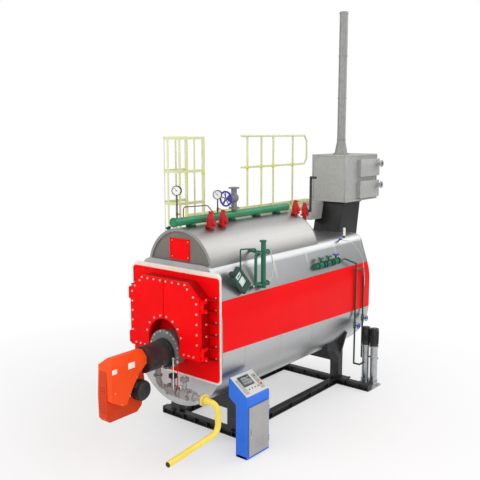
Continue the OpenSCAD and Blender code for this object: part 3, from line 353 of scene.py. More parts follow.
# Brown lacquered copper of cocks and siphons
BRASS = Finish("brown_lacquered_copper", "#7A4A34", "#8F5E40", 0.35, metal=0.4, patch_mm=60)
# Pale, wet-looking gauge glass
GLASS_WHITE = Finish("gauge_glass", "#DDEBE4", "#C9DCD3", 0.12, coat=0.5, patch_mm=40, dust_share=0.0)
# Bare plate behind the doors, brown and dull from heat
HEATED = Finish("heated_bare_steel", "#6A625B", "#4A4440", 0.6, metal=0.4, patch_mm=80, grain_depth_mm=0.5)

NODE_FINISHES: dict[str, Finish] = {
    "front_beam": BLACK_STEEL, "rear_beam": BLACK_STEEL, "left_beam": BLACK_STEEL, "right_beam": BLACK_STEEL,
    "front_saddle": BLACK_STEEL, "rear_saddle": BLACK_STEEL, "main_shell": STEEL, "front_end_plate": STEEL,
    "rear_end_cover": STEEL, "drum_shell": SHADED_DRUM_STEEL, "drum_front_plate": DARK_GREY,
    "drum_rear_head": SHADED_DRUM_STEEL, "drum_square_plate": RED, "left_band": BAND_RED, "right_band": BAND_RED,
    "casing_panel": CREAM, "smokebox_flange": RED, "tube_plate": HEATED, "smokebox_body": SHADED_RED,
    "left_hinges": RED, "right_hinges": RED, "left_door": RED, "right_door": RED,
    "burner_throat": RING_GREY, "burner_head": BLACK_CAST, "burner_housing": ORANGE,
    "burner_fan": SHADED_ORANGE, "burner_motor": BLACK_CAST, "gas_train": TRAIN_GREY,
    "gas_inlet_pipe": YELLOW, "steam_manifold": MANIFOLD_GREEN, "safety_valves": VALVE_RED,
    "safety_vent_pipe": BLACK_CAST, "main_steam_valve": CAST_GREY, "steam_handwheel": WHEEL_BLUE,
    "pressure_gauges": BLACK_PLASTIC, "level_gauge": GREEN, "level_transmitter": DARK_GREEN,
    "feed_valves": GREEN, "feed_down_pipes": DARK_GREEN, "feed_pumps": PUMP_STEEL,
    "pump_motors": BLACK_CAST, "flue_duct": DUCT_BLACK, "duct_front_box": PLATE_GREY,
    "economizer_casing": ZINC_SHEET, "economizer_headers": ZINC_SHEET, "stack": STACK_GREY,
    "platform_deck": DECK, "platform_brackets": RAIL, "platform_railing": RAIL, "ladder": RAIL,
    "ladder_cage": RAIL, "desk_cabinet": BLUE, "desk_door": DESK_GREY, "desk_console": CONSOLE,
}


@dataclass(frozen=True)
class Box:
    """The box of one or more of the frame's nodes."""

    lo: Vector
    hi: Vector

    @classmethod
    def of(cls, *nodes: str) -> "Box":
        """Returns the box that holds the named nodes."""
        boxes = [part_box(n) for n in nodes]
        lo = Vector([min(b[0][k] for b in boxes) for k in range(3)])
        hi = Vector([max(b[1][k] for b in boxes) for k in range(3)])
        return cls(lo, hi)

    @property
    def mid(self) -> Vector:
        """The box's middle."""
        return (self.lo + self.hi) / 2

    @property
    def size(self) -> Vector:
        """The box's lengths along the axes."""
        return self.hi - self.lo

    def at(self, x: float, y: float, z: float) -> Vector:
        """Returns the point at the given shares of the box's lengths."""
        return Vector([self.lo[k] + share * self.size[k] for k, share in enumerate((x, y, z))])


def vec(x: float, y: float, z: float) -> Vector:
    """Returns a vector from its three parts."""
    return Vector((x, y, z))


def turned_to(direction: Vector, up: Vector = UP) -> Matrix:
    """Returns the turn that takes +Z to a direction and keeps +Y near up."""
    z = direction.normalized()
    x = up.cross(z)
    if x.length < 1e-4:
        x = X.copy() if abs(z.x) < 0.9 else Y.copy()
        x = (x - z * x.dot(z))
    x.normalize()
    return Matrix((x, z.cross(x), z)).transposed().to_4x4()


def rotated(angle_deg: float, axis: str = "Z") -> Matrix:
    """Returns the turn by an angle about one of the axes."""
    return Matrix.Rotation(math.radians(angle_deg), 4, axis)


def sideways(angle: float) -> Vector:
    """Returns the direction at an angle in radians from +X towards +Z, across the boiler."""
    return vec(math.cos(angle), 0, math.sin(angle))


def spot(x: float, y: float, z: float) -> Matrix:
    """Returns the matrix that moves a shape to a point and doesn't turn it."""
    return Matrix.Translation((x, y, z))


def placed(at: Vector, direction: Vector = UP, up: Vector = UP) -> Matrix:
    """Returns the matrix that puts a shape's foot at a point and its +Z along a direction."""
    return Matrix.Translation(at) @ turned_to(Vector(direction), up)


def spread(first: float, last: float, count: int) -> list[float]:
    """Returns evenly spaced numbers, both ends among them."""
    return [first + (last - first) * k / (count - 1) for k in range(count)]


def ring(at: Vector, direction: Vector, radius: float, count: int, start: float = 0.0) -> list[Vector]:
    """Returns points on a circle round a direction.

    Args:
        at: The circle's centre.
        direction: The circle's axis.
        radius: The circle's radius.
        count: Number of points.
        start: Angle of the first point in degrees.

    Returns:
        The points in order.
    """
    turn = placed(at, direction)
    angles = [math.radians(start + 360 * k / count) for k in range(count)]
    return [turn @ vec(radius * math.cos(a), radius * math.sin(a), 0) for a in angles]


class Trees:
    """Geometry node trees for what repeats or follows a path, and their results as plain meshes."""

    @staticmethod
    def _new(name: str, sockets: dict[str, str]) -> tuple[Tree, bpy.types.Node]:
        """Starts a tree with named inputs and a geometry output."""
        tree = bpy.data.node_groups.new(name, "GeometryNodeTree")
        tree.interface.new_socket("Geometry", in_out="INPUT", socket_type="NodeSocketGeometry")
        for label, kind in sockets.items():
            tree.interface.new_socket(label, in_out="INPUT", socket_type=kind)
        tree.interface.new_socket("Material", in_out="INPUT", socket_type="NodeSocketMaterial")
        tree.interface.new_socket("Geometry", in_out="OUTPUT", socket_type="NodeSocketGeometry")
        return tree, add_node(tree, "NodeGroupInput")

    @staticmethod
    def _end(tree: Tree, given: bpy.types.Node, geometry: Socket) -> None:
        """Ends a tree with Realize Instances and Set Material."""
        real = wire(tree, "GeometryNodeRealizeInstances", {}, {0: geometry})
        links = {"Geometry": real, "Material": given.outputs["Material"]}
        done = add_node(tree, "GeometryNodeSetMaterial", {}, links)
        add_node(tree, "NodeGroupOutput", {}, {0: done.outputs[0]})

    @classmethod
    def _scattered(cls, tree: Tree, given: bpy.types.Node, shape: Socket) -> None:
        """Puts a shape on each point, turned by the point's own angles, and ends the tree."""
        settings = {"data_type": "FLOAT_VECTOR", "Name": "turn"}
        angles = add_node(tree, "GeometryNodeInputNamedAttribute", settings)
        turn = wire(tree, "FunctionNodeEulerToRotation", {}, {0: angles.outputs[0]})
        links = {"Points": given.outputs["Geometry"], "Instance": shape, "Rotation": turn}
        cls._end(tree, given, wire(tree, "GeometryNodeInstanceOnPoints", {}, links))

    @classmethod
    def bolt(cls) -> Tree:
        """Returns the tree of hexagon heads on washers."""
        made = bpy.data.node_groups.get("hexagon_bolts")
        if made:
            return made
        lengths = ("Head radius", "Head height", "Washer radius", "Washer height")
        tree, given = cls._new("hexagon_bolts", {n: "NodeSocketFloat" for n in lengths})
        parts = []
        stack = None
        for sides, radius, height in ((12, lengths[2], lengths[3]), (6, lengths[0], lengths[1])):
            disc = wire(
                tree, "GeometryNodeMeshCylinder", {"Vertices": sides},
                {"Radius": given.outputs[radius], "Depth": given.outputs[height]},
            )
            half = wire(tree, "ShaderNodeMath", {"operation": "MULTIPLY", 1: 0.5}, {0: given.outputs[height]})
            if stack is not None:
                half = wire(tree, "ShaderNodeMath", {"operation": "ADD"}, {0: half, 1: stack})
            lift = wire(tree, "ShaderNodeCombineXYZ", {}, {"Z": half})
            parts.append(
                wire(tree, "GeometryNodeTransform", {}, {"Geometry": disc, "Translation": lift})
            )
            stack = given.outputs[height]
        both = add_node(tree, "GeometryNodeJoinGeometry", {}, {0: parts[0]})
        tree.links.new(parts[1], both.inputs[0])
        cls._scattered(tree, given, both.outputs[0])
        return tree

    @classmethod
    def bar(cls) -> Tree:
        """Returns the tree of plain bars, for ribs, slats, marks and lugs."""
        made = bpy.data.node_groups.get("bars")
        if made:
            return made
        tree, given = cls._new("bars", {"Size": "NodeSocketVector"})
        cube = wire(tree, "GeometryNodeMeshCube", {}, {"Size": given.outputs["Size"]})
        cls._scattered(tree, given, cube)
        return tree

    @classmethod
    def rivet(cls) -> Tree:
        """Returns the tree of low domes, for rivets and round buttons."""
        made = bpy.data.node_groups.get("rivets")
        if made:
            return made
        tree, given = cls._new("rivets", {"Radius": "NodeSocketFloat"})
        ball = wire(
            tree, "GeometryNodeMeshUVSphere", {"Segments": 8, "Rings": 4}, {"Radius": given.outputs["Radius"]}
        )
        flat = wire(tree, "GeometryNodeTransform", {"Scale": (1, 1, 0.5)}, {"Geometry": ball})
        cls._scattered(tree, given, flat)
        return tree

    @classmethod
    def pipe(cls) -> Tree:
        """Returns the tree of a round pipe along a path, with rounded bends."""
        made = bpy.data.node_groups.get("bent_pipe")
        if made:
            return made
        tree, given = cls._new("bent_pipe", {"Radius": "NodeSocketFloat", "Bend": "NodeSocketFloat"})
        curve = wire(tree, "GeometryNodeMeshToCurve", {}, {0: given.outputs["Geometry"]})
        bent = wire(
            tree, "GeometryNodeFilletCurve", {"mode": "POLY", "Count": 5, "Limit Radius": True},
            {"Curve": curve, "Radius": given.outputs["Bend"]},
        )
        circle = wire(
            tree, "GeometryNodeCurvePrimitiveCircle", {"Resolution": 14}, {"Radius": given.outputs["Radius"]}
        )
        tube = wire(
            tree, "GeometryNodeCurveToMesh", {"Fill Caps": True}, {"Curve": bent, "Profile Curve": circle}
        )
        cls._end(tree, given, tube)
        return tree

    @staticmethod
    def grow(name: str, tree: Tree, source: bpy.types.Mesh, values: dict, body: Body) -> None:
        """Runs a tree on a mesh and keeps the result as a plain piece.

        Args:
            name: The piece's name.
            tree: The geometry node tree.
            source: The mesh of points or of a path.
            values: The tree's inputs by name.
            body: The body that the piece rides on.
        """
        holder = linked(name + "_places", source)
        modifier = holder.modifiers.new("build", "NODES")
        modifier.node_group = tree
        for item in tree.interface.items_tree:
            if item.item_type == "SOCKET" and item.in_out == "INPUT" and item.name in values:
                modifier[item.identifier] = values[item.name]
        graph = bpy.context.evaluated_depsgraph_get()
        mesh = bpy.data.meshes.new_from_object(holder.evaluated_get(graph), depsgraph=graph)
        holder.modifiers.remove(modifier)
        bpy.data.objects.remove(holder)
        finish_piece(name, mesh, body)


def finish_piece(name: str, mesh: bpy.types.Mesh, body: Body, smooth_deg: float = 35.0) -> bpy.types.Object:
    """Makes a piece's object, shades it and lets it ride.

    Args:
        name: The piece's name.
        mesh: The finished mesh, in the frame's axes.
        body: The body that the piece rides on.
        smooth_deg: Edges sharper than this stay sharp.

    Returns:
        The piece's object.
    """
    mesh.name = name
    mesh.shade_smooth()
    mesh.set_sharp_from_angle(angle=math.radians(smooth_deg))
    piece = linked(name, mesh)
    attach(piece, body.value)
    log.info("%s: %d faces on %s", name, len(mesh.polygons), body.value)
    return piece


def scatter(
    name: str, tree: Tree, places: Sequence[Matrix], values: dict, finish: Finish,
    body: Body = Body.BOILER,
) -> None:
    """Puts a tree's shape at each place as one piece.

    Args:
        name: The piece's name.
        tree: One of the scattering trees.
        places: Where the shapes stand and how they are turned.
        values: The tree's inputs by name.
        finish: The piece's finish.
        body: The body that the piece rides on.
    """
    mesh = bpy.data.meshes.new(name + "_places")
    mesh.from_pydata([tuple(p.translation) for p in places], [], [])
    turn = mesh.attributes.new("turn", "FLOAT_VECTOR", "POINT")
    turn.data.foreach_set("vector", [a for p in places for a in p.to_euler()])
    Trees.grow(name, tree, mesh, values | {"Material": finish.material()}, body)


class Thread(Enum):
    """Bolt sizes: head radius over corners, head height, washer radius, washer height, in mm."""

    M8 = (7.5, 5.5, 9.0, 1.6)
    M12 = (11.0, 8.0, 13.0, 2.5)
    M16 = (14.0, 10.0, 16.5, 3.0)


def bolts(
    name: str, points: Sequence[Vector], direction: Vector, thread: Thread, finish: Finish = ZINC,
    body: Body = Body.BOILER,
) -> None:
    """Puts hexagon heads at points, all facing one direction.

    Args:
        name: The piece's name.
        points: Where the heads sit.
        direction: The way that the heads face.
        thread: Their size.
        finish: Their finish.
        body: The body that they ride on.
    """
    labels = ("Head radius", "Head height", "Washer radius", "Washer height")
    values = {label: value * MM for label, value in zip(labels, thread.value)}
    scatter(name, Trees.bolt(), [placed(p, direction) for p in points], values, finish, body)


def bars(
    name: str, places: Sequence[Matrix], size: Vector, finish: Finish, body: Body = Body.BOILER
) -> None:
    """Puts a bar of one size at each place."""
    scatter(name, Trees.bar(), places, {"Size": size}, finish, body)


def rivets(
    name: str, places: Sequence[Matrix], radius: float, finish: Finish, body: Body = Body.BOILER
) -> None:
    """Puts a low dome of one radius at each place."""
    scatter(name, Trees.rivet(), places, {"Radius": radius}, finish, body)


def pipe(name: str, path: Sequence[Vector], radius: float, bend: float, finish: Finish) -> None:
    """Runs a round pipe along a path.

    Args:
        name: The piece's name.
        path: The corners of the pipe's axis.
        radius: The pipe's outer radius.
        bend: The radius of its bends.
        finish: Its finish.
    """
    mesh = bpy.data.meshes.new(name + "_path")
    mesh.from_pydata([tuple(p) for p in path], [(k, k + 1) for k in range(len(path) - 1)], [])
    values = {"Radius": radius, "Bend": bend, "Material": finish.material()}
    Trees.grow(name, Trees.pipe(), mesh, values, Body.BOILER)


class Piece:
    """A piece put together from turned shapes, blocks and ribbons, each with its own finish."""

    def __init__(self, name: str, body: Body = Body.BOILER) -> None:
        """Starts an empty piece.

        Args:
            name: The piece's name.
            body: The body that it will ride on.
        """
        self.name = name
        self.body = body
        self.mesh = bmesh.new()
        self.finishes: list[Finish] = []

    def _take(self, shape: bmesh.types.BMesh, finish: Finish, place: Place) -> "Piece":
        """Adds a shape to the piece at a place."""
        if finish not in self.finishes:
            self.finishes.append(finish)
        bmesh.ops.recalc_face_normals(shape, faces=shape.faces)
        for face in shape.faces:
            face.material_index = self.finishes.index(finish)
        shape.transform(Matrix.Translation(place) if isinstance(place, Vector) else place)
        carrier = bpy.data.meshes.new("shape")
        shape.to_mesh(carrier)
        shape.free()
        self.mesh.from_mesh(carrier)
        bpy.data.meshes.remove(carrier)
        return self

    def turned(self, finish: Finish, place: Place, profile: Outline, sides: int = 32) -> "Piece":
        """Adds a turned shape.

        Args:
            finish: Its finish.
            place: Where its foot stands; it is turned round the place's +Z.
            profile: Pairs of radius and height from the foot's axis to the top's axis.
            sides: Number of sides round it.

        Returns:
            The piece.
        """
        shape = bmesh.new()
        angles = [2 * math.pi * k / sides for k in range(sides)]
        rings = []
        for radius, height in profile:
            if radius < 1e-6:
                rings.append([shape.verts.new((0, 0, height))])
            else:
                points = [(radius * math.cos(a), radius * math.sin(a), height) for a in angles]
                rings.append([shape.verts.new(p) for p in points])
        for low, high in zip(rings, rings[1:]):
            for k in range(sides):
                n = k + 1
                corners = [low[k % len(low)], low[n % len(low)], high[n % len(high)], high[k % len(high)]]
                corners = list(dict.fromkeys(corners))
                if len(corners) > 2:
                    shape.faces.new(corners)
        return self._take(shape, finish, place)

    def disc(self, finish: Finish, place: Place, radius: float, depth: float, edge: float = MM) -> "Piece":
        """Adds a round disc or bar with small chamfers on its edges."""
        inner, top = radius - edge, depth - edge
        profile = [(0, 0), (inner, 0), (radius, edge), (radius, top), (inner, depth), (0, depth)]
        return self.turned(finish, place, profile)

    def hoop(self, finish: Finish, place: Place, inner: float, outer: float, depth: float) -> "Piece":
        """Adds a flat ring with small chamfers on its outer edges."""
        edge = min(2 * MM, depth / 4)
        profile = [
            (inner, 0), (outer - edge, 0), (outer, edge), (outer, depth - edge), (outer - edge, depth),
            (inner, depth), (inner, 0),
        ]
        return self.turned(finish, place, profile, 48)

    def block(self, finish: Finish, place: Place, size: Sequence[float], edge: float = 2 * MM) -> "Piece":
        """Adds a block with rounded edges, centred on its place."""
        shape = bmesh.new()
        bmesh.ops.create_cube(shape, size=1)
        bmesh.ops.scale(shape, vec=Vector(size), verts=shape.verts)
        edge = min(edge, min(size) * 0.4)
        bmesh.ops.bevel(shape, geom=shape.edges[:], offset=edge, segments=2, affect="EDGES", profile=0.5)
        return self._take(shape, finish, place)

    def ribbon(self, finish: Finish, path: Section, width: Vector, depth: float) -> "Piece":
        """Adds a strap that lies on a surface.

        Args:
            finish: Its finish.
            path: Points on the surface, each with the surface's normal.
            width: The strap's width as a vector across the path.
            depth: The strap's thickness.

        Returns:
            The piece.
        """
        shape = bmesh.new()
        closed = (path[0][0] - path[-1][0]).length < MM
        rows = []
        for point, normal in path[:-1] if closed else path:
            corners = (point, point + normal * depth, point + normal * depth + width, point + width)
            rows.append([shape.verts.new(c) for c in corners])
        pairs = list(zip(rows, rows[1:] + rows[:1] if closed else rows[1:]))
        for low, high in pairs:
            for k in range(4):
                n = (k + 1) % 4
                shape.faces.new((low[k], low[n], high[n], high[k]))
        if not closed:
            shape.faces.new(rows[0])
            shape.faces.new(rows[-1])
        return self._take(shape, finish, Matrix())

    def done(self, *replaced: str, smooth_deg: float = 35.0) -> bpy.types.Object:
        """Makes the piece's object.

        Args:
            replaced: Names of the nodes that it stands for.
            smooth_deg: Edges sharper than this stay sharp.

        Returns:
            The piece's object.
        """
        mesh = bpy.data.meshes.new(self.name)
        self.mesh.to_mesh(mesh)
        self.mesh.free()
        for finish in self.finishes:
            mesh.materials.append(finish.material())
        piece = finish_piece(self.name, mesh, self.body, smooth_deg)
        if replaced:
            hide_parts(*replaced)
        return piece


def soften(node: str, edge: float, body: Body = Body.BOILER, segments: int = 2) -> None:
    """Stands a copy of a node in its place, with its edges rounded and its curves smooth.

    Args:
        node: The frame's node.
        edge: Radius of the rounding.
        body: The body that it rides on.
        segments: Number of steps in the rounding.
    """
    shape = bmesh.new()
    shape.from_mesh(bpy.data.objects[node].data)
    bmesh.ops.remove_doubles(shape, verts=shape.verts, dist=0.02 * MM)
    bmesh.ops.dissolve_limit(shape, angle_limit=math.radians(0.5), verts=shape.verts, edges=shape.edges)
    mesh = bpy.data.meshes.new(node + "_soft")
    shape.to_mesh(mesh)
    shape.free()
    mesh.materials.clear()
    mesh.materials.append(NODE_FINISHES[node].material())
    mesh.shade_smooth()
    mesh.set_sharp_from_angle(angle=math.radians(30))
    piece = linked(node + "_dressed", mesh)
    rounding = piece.modifiers.new("rounding", "BEVEL")
    rounding.width = edge
    rounding.segments = segments
    rounding.limit_method = "ANGLE"
    rounding.angle_limit = math.radians(40)
    rounding.harden_normals = True
    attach(piece, body.value)
    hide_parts(node)
    log.info("%s: dressed copy, %d faces before its rounding", piece.name, len(mesh.polygons))


@dataclass
class BaseFrame:
    """The beams and saddles: stiffeners in the webs and foot plates under the legs."""

    stiffener_depth: float = 52 * MM
    foot_plate: float = 16 * MM
    foot_size: tuple[float, float] = (0.27, 0.24)
    foot_bolts: tuple[float, float] = (0.115, 0.1)

    def build(self) -> None:
        """Builds the stiffeners, the foot plates and their bolts."""
        for node in ("front_beam", "rear_beam", "left_beam", "right_beam", "front_saddle", "rear_saddle"):
            soften(node, 3 * MM)
        front, rear, legs = Box.of("front_beam"), Box.of("rear_beam"), Box.of("front_saddle")
        long_left, long_right = Box.of("left_beam"), Box.of("right_beam")
        places = []
        for beam in (front, rear):
            for x in spread(beam.lo.x + 0.22, beam.hi.x - 0.22, 7):
                for side in (-1, 1):
                    places.append(placed(vec(x, beam.mid.y + side * 33 * MM, beam.mid.z), X))
        for beam in (long_left, long_right):
            for y in spread(beam.lo.y + 0.3, beam.hi.y - 0.3, 5):
                for side in (-1, 1):
                    place = placed(vec(beam.mid.x + side * 33 * MM, y, beam.mid.z), Y)
                    places.append(place)
        bars("beam_stiffeners", places, vec(self.stiffener_depth, 86 * MM, 10 * MM), BLACK_STEEL)
        self._foot_plates(front, rear, legs)

    def _foot_plates(self, front: Box, rear: Box, legs: Box) -> None:
        """Builds the plates between the saddles' legs and the cross-beams, with their bolts."""
        piece = Piece("saddle_foot_plates")
        heads = []
        leg_x = legs.hi.x - 95 * MM
        aside, ahead = self.foot_bolts
        for beam in (front, rear):
            for side in (-1, 1):
                foot = vec(side * leg_x, beam.mid.y, beam.hi.z)
                lift = vec(0, 0, self.foot_plate / 2)
                piece.block(BLACK_STEEL, foot + lift, (*self.foot_size, self.foot_plate), 3 * MM)
                for dx in (-1, 1):
                    for dy in (-1, 1):
                        heads.append(foot + vec(dx * aside, dy * ahead, self.foot_plate))
        piece.done()
        bolts("saddle_foot_bolts", heads, UP, Thread.M16, BLACK_CAST)


@dataclass
class Casing:
    """The stainless cladding: straps over the sheet joints with their rivets, and the band's rivets."""

    strap: float = 56 * MM
    sheet: float = 1.6 * MM
    rivet_pitch: float = 0.12
    corner_r: float = 0.2
    corner_x: float = 0.56
    flat: float = 0.48
    seams: int = 4
    strap_top: float = 2.8
    rivet_line: float = 0.32
    new_sheet_start: float = 0.7
    new_sheet_width: float = 0.62
    shell: Box = field(init=False)

    def __post_init__(self) -> None:
        """Reads the shell's box."""
        self.shell = Box.of("main_shell")

    def section(self) -> list[tuple[Vector, Vector]]:
        """Returns the casing's section from its top middle round by the +X side, with normals, at y 0."""
        shell = self.shell
        r = shell.hi.x
        low_z = shell.lo.z + r
        mid_z = low_z + self.flat
        corner_z = shell.hi.z - self.corner_r
        reach = math.hypot(self.corner_x, corner_z - mid_z)
        tilt = math.atan2(corner_z - mid_z, self.corner_x) - math.acos((r - self.corner_r) / reach)
        half = []
        arcs = (
            (self.corner_x, corner_z, self.corner_r, math.pi / 2, tilt, 5),
            (0.0, mid_z, r, tilt, 0.0, 8),
            (0.0, low_z, r, 0.0, -math.pi / 2, 20),
        )
        for cx, cz, radius, start, stop, steps in arcs:
            for a in spread(start, stop, steps + 1):
                normal = sideways(a)
                half.append((vec(cx, 0, cz) + normal * radius, normal))
        other = [(vec(-p.x, 0, p.z), vec(-n.x, 0, n.z)) for p, n in reversed(half[:-1])]
        return half + other

    def _places(self, path: Section, y: float) -> list[Matrix]:
        """Returns evenly spaced rivet places along a section, at one y."""
        places = []
        left = 0.0
        for (a, na), (b, nb) in zip(path, path[1:]):
            length = (b - a).length
            while left < length:
                share = left / length
                normal = na.lerp(nb, share).normalized()
                point = a.lerp(b, share) + normal * self.sheet + Y * y
                places.append(placed(point, normal, Y))
                left += self.rivet_pitch
            left -= length
        return places

    def _strap(self, piece: "Piece", finish: Finish, path: Section, y: float) -> list[Matrix]:
        """Adds a strap round a section at one y to a piece, and returns the places of its rivets."""
        shifted = [(p + n * GAP + Y * (y - self.strap / 2), n) for p, n in path]
        piece.ribbon(finish, shifted, Y * self.strap, self.sheet)
        aside = self.strap * self.rivet_line
        return self._places(path, y - aside) + self._places(path, y + aside)

    def build(self) -> None:
        """Builds the casing's and drum's straps and their rivets."""
        drum = Box.of("drum_shell")
        section = self.section()
        piece = Piece("casing_seam_straps")
        places = []
        first, last = self.shell.lo.y + 0.55, self.shell.hi.y - 0.06
        for y in spread(first, last, self.seams + 1):
            behind_drum = y > drum.hi.y + 0.2
            path = [s for s in section if behind_drum or s[0].z < max(drum.lo.z, self.strap_top)]
            places += self._strap(piece, STEEL, path, y)
        piece.done()
        rivets("casing_rivets", places, 5 * MM, ZINC)
        self._drum_straps(drum)
        self._band_rivets()

    def _drum_straps(self, drum: Box) -> None:
        """Builds the straps round the upper drum."""
        radius = drum.hi.x
        centre_z = drum.hi.z - radius
        low = math.asin((self.shell.hi.z - centre_z) / radius) + 0.02
        arc = []
        for a in spread(low, math.pi - low, 49):
            normal = sideways(a)
            arc.append((vec(0, 0, centre_z) + normal * radius, normal))
        piece = Piece("drum_seam_straps")
        places = []
        for y in spread(drum.lo.y + 0.03, drum.hi.y - 0.03, 5):
            places += self._strap(piece, SHADED_DRUM_STEEL, arc, y)
        sheet = [(p + n * GAP + Y * (drum.hi.y - self.new_sheet_start), n) for p, n in arc[3:14]]
        piece.ribbon(NEW_STEEL, sheet, Y * self.new_sheet_width, 1.2 * MM)
        lean = vec(-0.4, 0, 0.917).normalized()
        cap = vec(0, drum.lo.y + 0.05, centre_z) + lean * radius
        piece.disc(DARK_GREEN, placed(cap, lean), 30 * MM, 34 * MM, 3 * MM)
        piece.disc(DARK_GREEN, placed(cap + lean * 24 * MM, lean), 42 * MM, 30 * MM, 5 * MM)
        piece.done()
        rivets("drum_rivets", places, 5 * MM, ZINC)

    def _band_rivets(self) -> None:
        """Builds the rivets near the edges of the colour bands."""
        places = []
        for side, node in ((-1, "left_band"), (1, "right_band")):
            box = Box.of(node)
            mid_z = self.shell.lo.z + self.shell.hi.x + self.flat / 2
            for y in spread(box.lo.y + 0.06, box.hi.y - 0.06, 24):
                x = box.hi.x if side > 0 else box.lo.x
                places.append(placed(vec(x, y, mid_z), X * side))
        rivets("band_rivets", places, 5 * MM, BAND_RED)


@dataclass
class Smokebox:
    """The front: door studs, clamp lugs on the gussets and the drum's front."""

    inset: float = 52 * MM
    top_half: float = 0.488
    cut_z: float = 2.456
    arch_r: float = 0.33
    arch_z: float = 1.724
    ribs: int = 6

    def build(self) -> None:
        """Builds the studs on both doors and the lugs beside them."""
        for node in ("casing_panel", "smokebox_flange", "smokebox_body", "left_hinges", "right_hinges"):
            soften(node, 3 * MM)
        soften("right_door", 5 * MM, Body.RIGHT_DOOR, 3)
        soften("left_door", 5 * MM, Body.LEFT_DOOR, 3)
        for side, body in ((1, Body.RIGHT_DOOR), (-1, Body.LEFT_DOOR)):
            name = body.value
            bolts(f"{name}_studs", self._studs(side), -Y, Thread.M16, ZINC, body)
        self._lugs()
        self._drum_front()

    def _studs(self, side: int) -> list[Vector]:
        """Returns the places of one door's studs.

        Args:
            side: 1 for the door on +X and -1 for the other.

        Returns:
            Points on the door's face.
        """
        door, body = Box.of("right_door"), Box.of("smokebox_body")
        half = self.side_x()
        y = door.lo.y
        top, low = body.hi.z - self.inset, body.lo.z + self.inset
        points = [vec(x, y, top + 22 * MM) for x in (0.06, 0.2, 0.335, 0.46)]
        cut = vec(half - self.top_half, 0, body.hi.z - self.cut_z)
        outward = vec(cut.z, 0, cut.x).normalized()
        start, stop = vec(self.top_half, y, body.hi.z), vec(half, y, self.cut_z)
        points += [start.lerp(stop, t) - outward * self.inset for t in (0.22, 0.68)]
        low_z = body.lo.z
        pitch = (self.cut_z - low_z) / self.ribs
        points += [vec(half - self.inset, y, low_z + pitch * (k + 0.6)) for k in range(1, self.ribs)]
        for angle in (14, 36, 58, 80):
            reach = self.arch_r + 0.046
            a = math.radians(angle)
            points.append(vec(reach * math.cos(a), y, self.arch_z + reach * math.sin(a)))
        points += [vec(x, y, low) for x in (0.42, 0.52, 0.62)]
        return [vec(side * p.x, p.y, p.z) for p in points]

    @staticmethod
    def side_x() -> float:
        """Returns the smokebox's half width, which the hinge pins stand outside of."""
        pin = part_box("right_hinges")[1].x
        return pin - 58 * MM

    def _lugs(self) -> None:
        """Builds the clamp lugs on the gussets' tips, and their nuts."""
        body = Box.of("smokebox_body")
        flange = Box.of("smokebox_flange")
        half = self.side_x()
        width = flange.hi.x - half
        pitch = (self.cut_z - body.lo.z - 12 * MM) / (self.ribs - 1)
        tip_y = Box.of("right_hinges").lo.y + 112 * MM
        lugs, heads = [], []
        for side in (-1, 1):
            for k in range(self.ribs):
                z = body.lo.z + k * pitch + 6 * MM
                at = vec(side * (half + width / 3 - 18 * MM), tip_y, z)
                lugs.append(Matrix.Translation(at))
                heads.append(at - Y * 12 * MM)
                foot = vec(side * (half + width * 0.78), flange.lo.y - 9 * MM, z + 22 * MM)
                heads.append(foot)
        bars("clamp_lugs", lugs, vec(34 * MM, 24 * MM, 40 * MM), RED)
        bolts("clamp_nuts", heads, -Y, Thread.M12)
        edge = []
        for z in spread(flange.lo.z + 0.07, flange.hi.z - 0.07, 9):
            for side in (-1, 1):
                edge.append(vec(side * (flange.hi.x - 26 * MM), flange.lo.y, z))
        for x in spread(-0.8, 0.8, 9):
            edge.append(vec(x, flange.lo.y, flange.hi.z - 26 * MM))
            edge.append(vec(x, flange.lo.y, flange.lo.z + 26 * MM))
        bolts("flange_edge_bolts", edge, -Y, Thread.M12, RED)

    def _drum_front(self) -> None:
        """Builds the weld bead, the square plate's frame and its domed nuts."""
        plate, front = Box.of("drum_square_plate"), Box.of("drum_front_plate")
        shell = Box.of("drum_shell")
        radius = front.hi.x
        centre_z = shell.hi.z - shell.hi.x
        low = math.asin((Box.of("main_shell").hi.z - centre_z) / radius) + 0.02
        centre = vec(0, front.lo.y, centre_z)
        path = [centre + sideways(a) * (radius - 2 * MM) for a in spread(low, math.pi - low, 41)]
        pipe("drum_front_weld", path, 6 * MM, 1 * MM, DARK_GREY)
        frame = Piece("square_plate_frame")
        rail = 16 * MM
        depth = 10 * MM
        y = plate.lo.y - depth / 2
        for z in (plate.lo.z + rail / 2, plate.hi.z - rail / 2):
            frame.block(RED, spot(plate.mid.x, y, z), (plate.size.x, depth, rail), 3 * MM)
        for x in (plate.lo.x + rail / 2, plate.hi.x - rail / 2):
            frame.block(RED, spot(x, y, plate.mid.z), (rail, depth, plate.size.z), 3 * MM)
        frame.done()
        corners = [vec(x, plate.lo.y, z) for x in (plate.lo.x + 0.04, plate.hi.x - 0.04)
                   for z in (plate.lo.z + 0.04, plate.hi.z - 0.04)]
        rivets("square_plate_nuts", [placed(c, -Y) for c in corners], 9 * MM, ZINC)


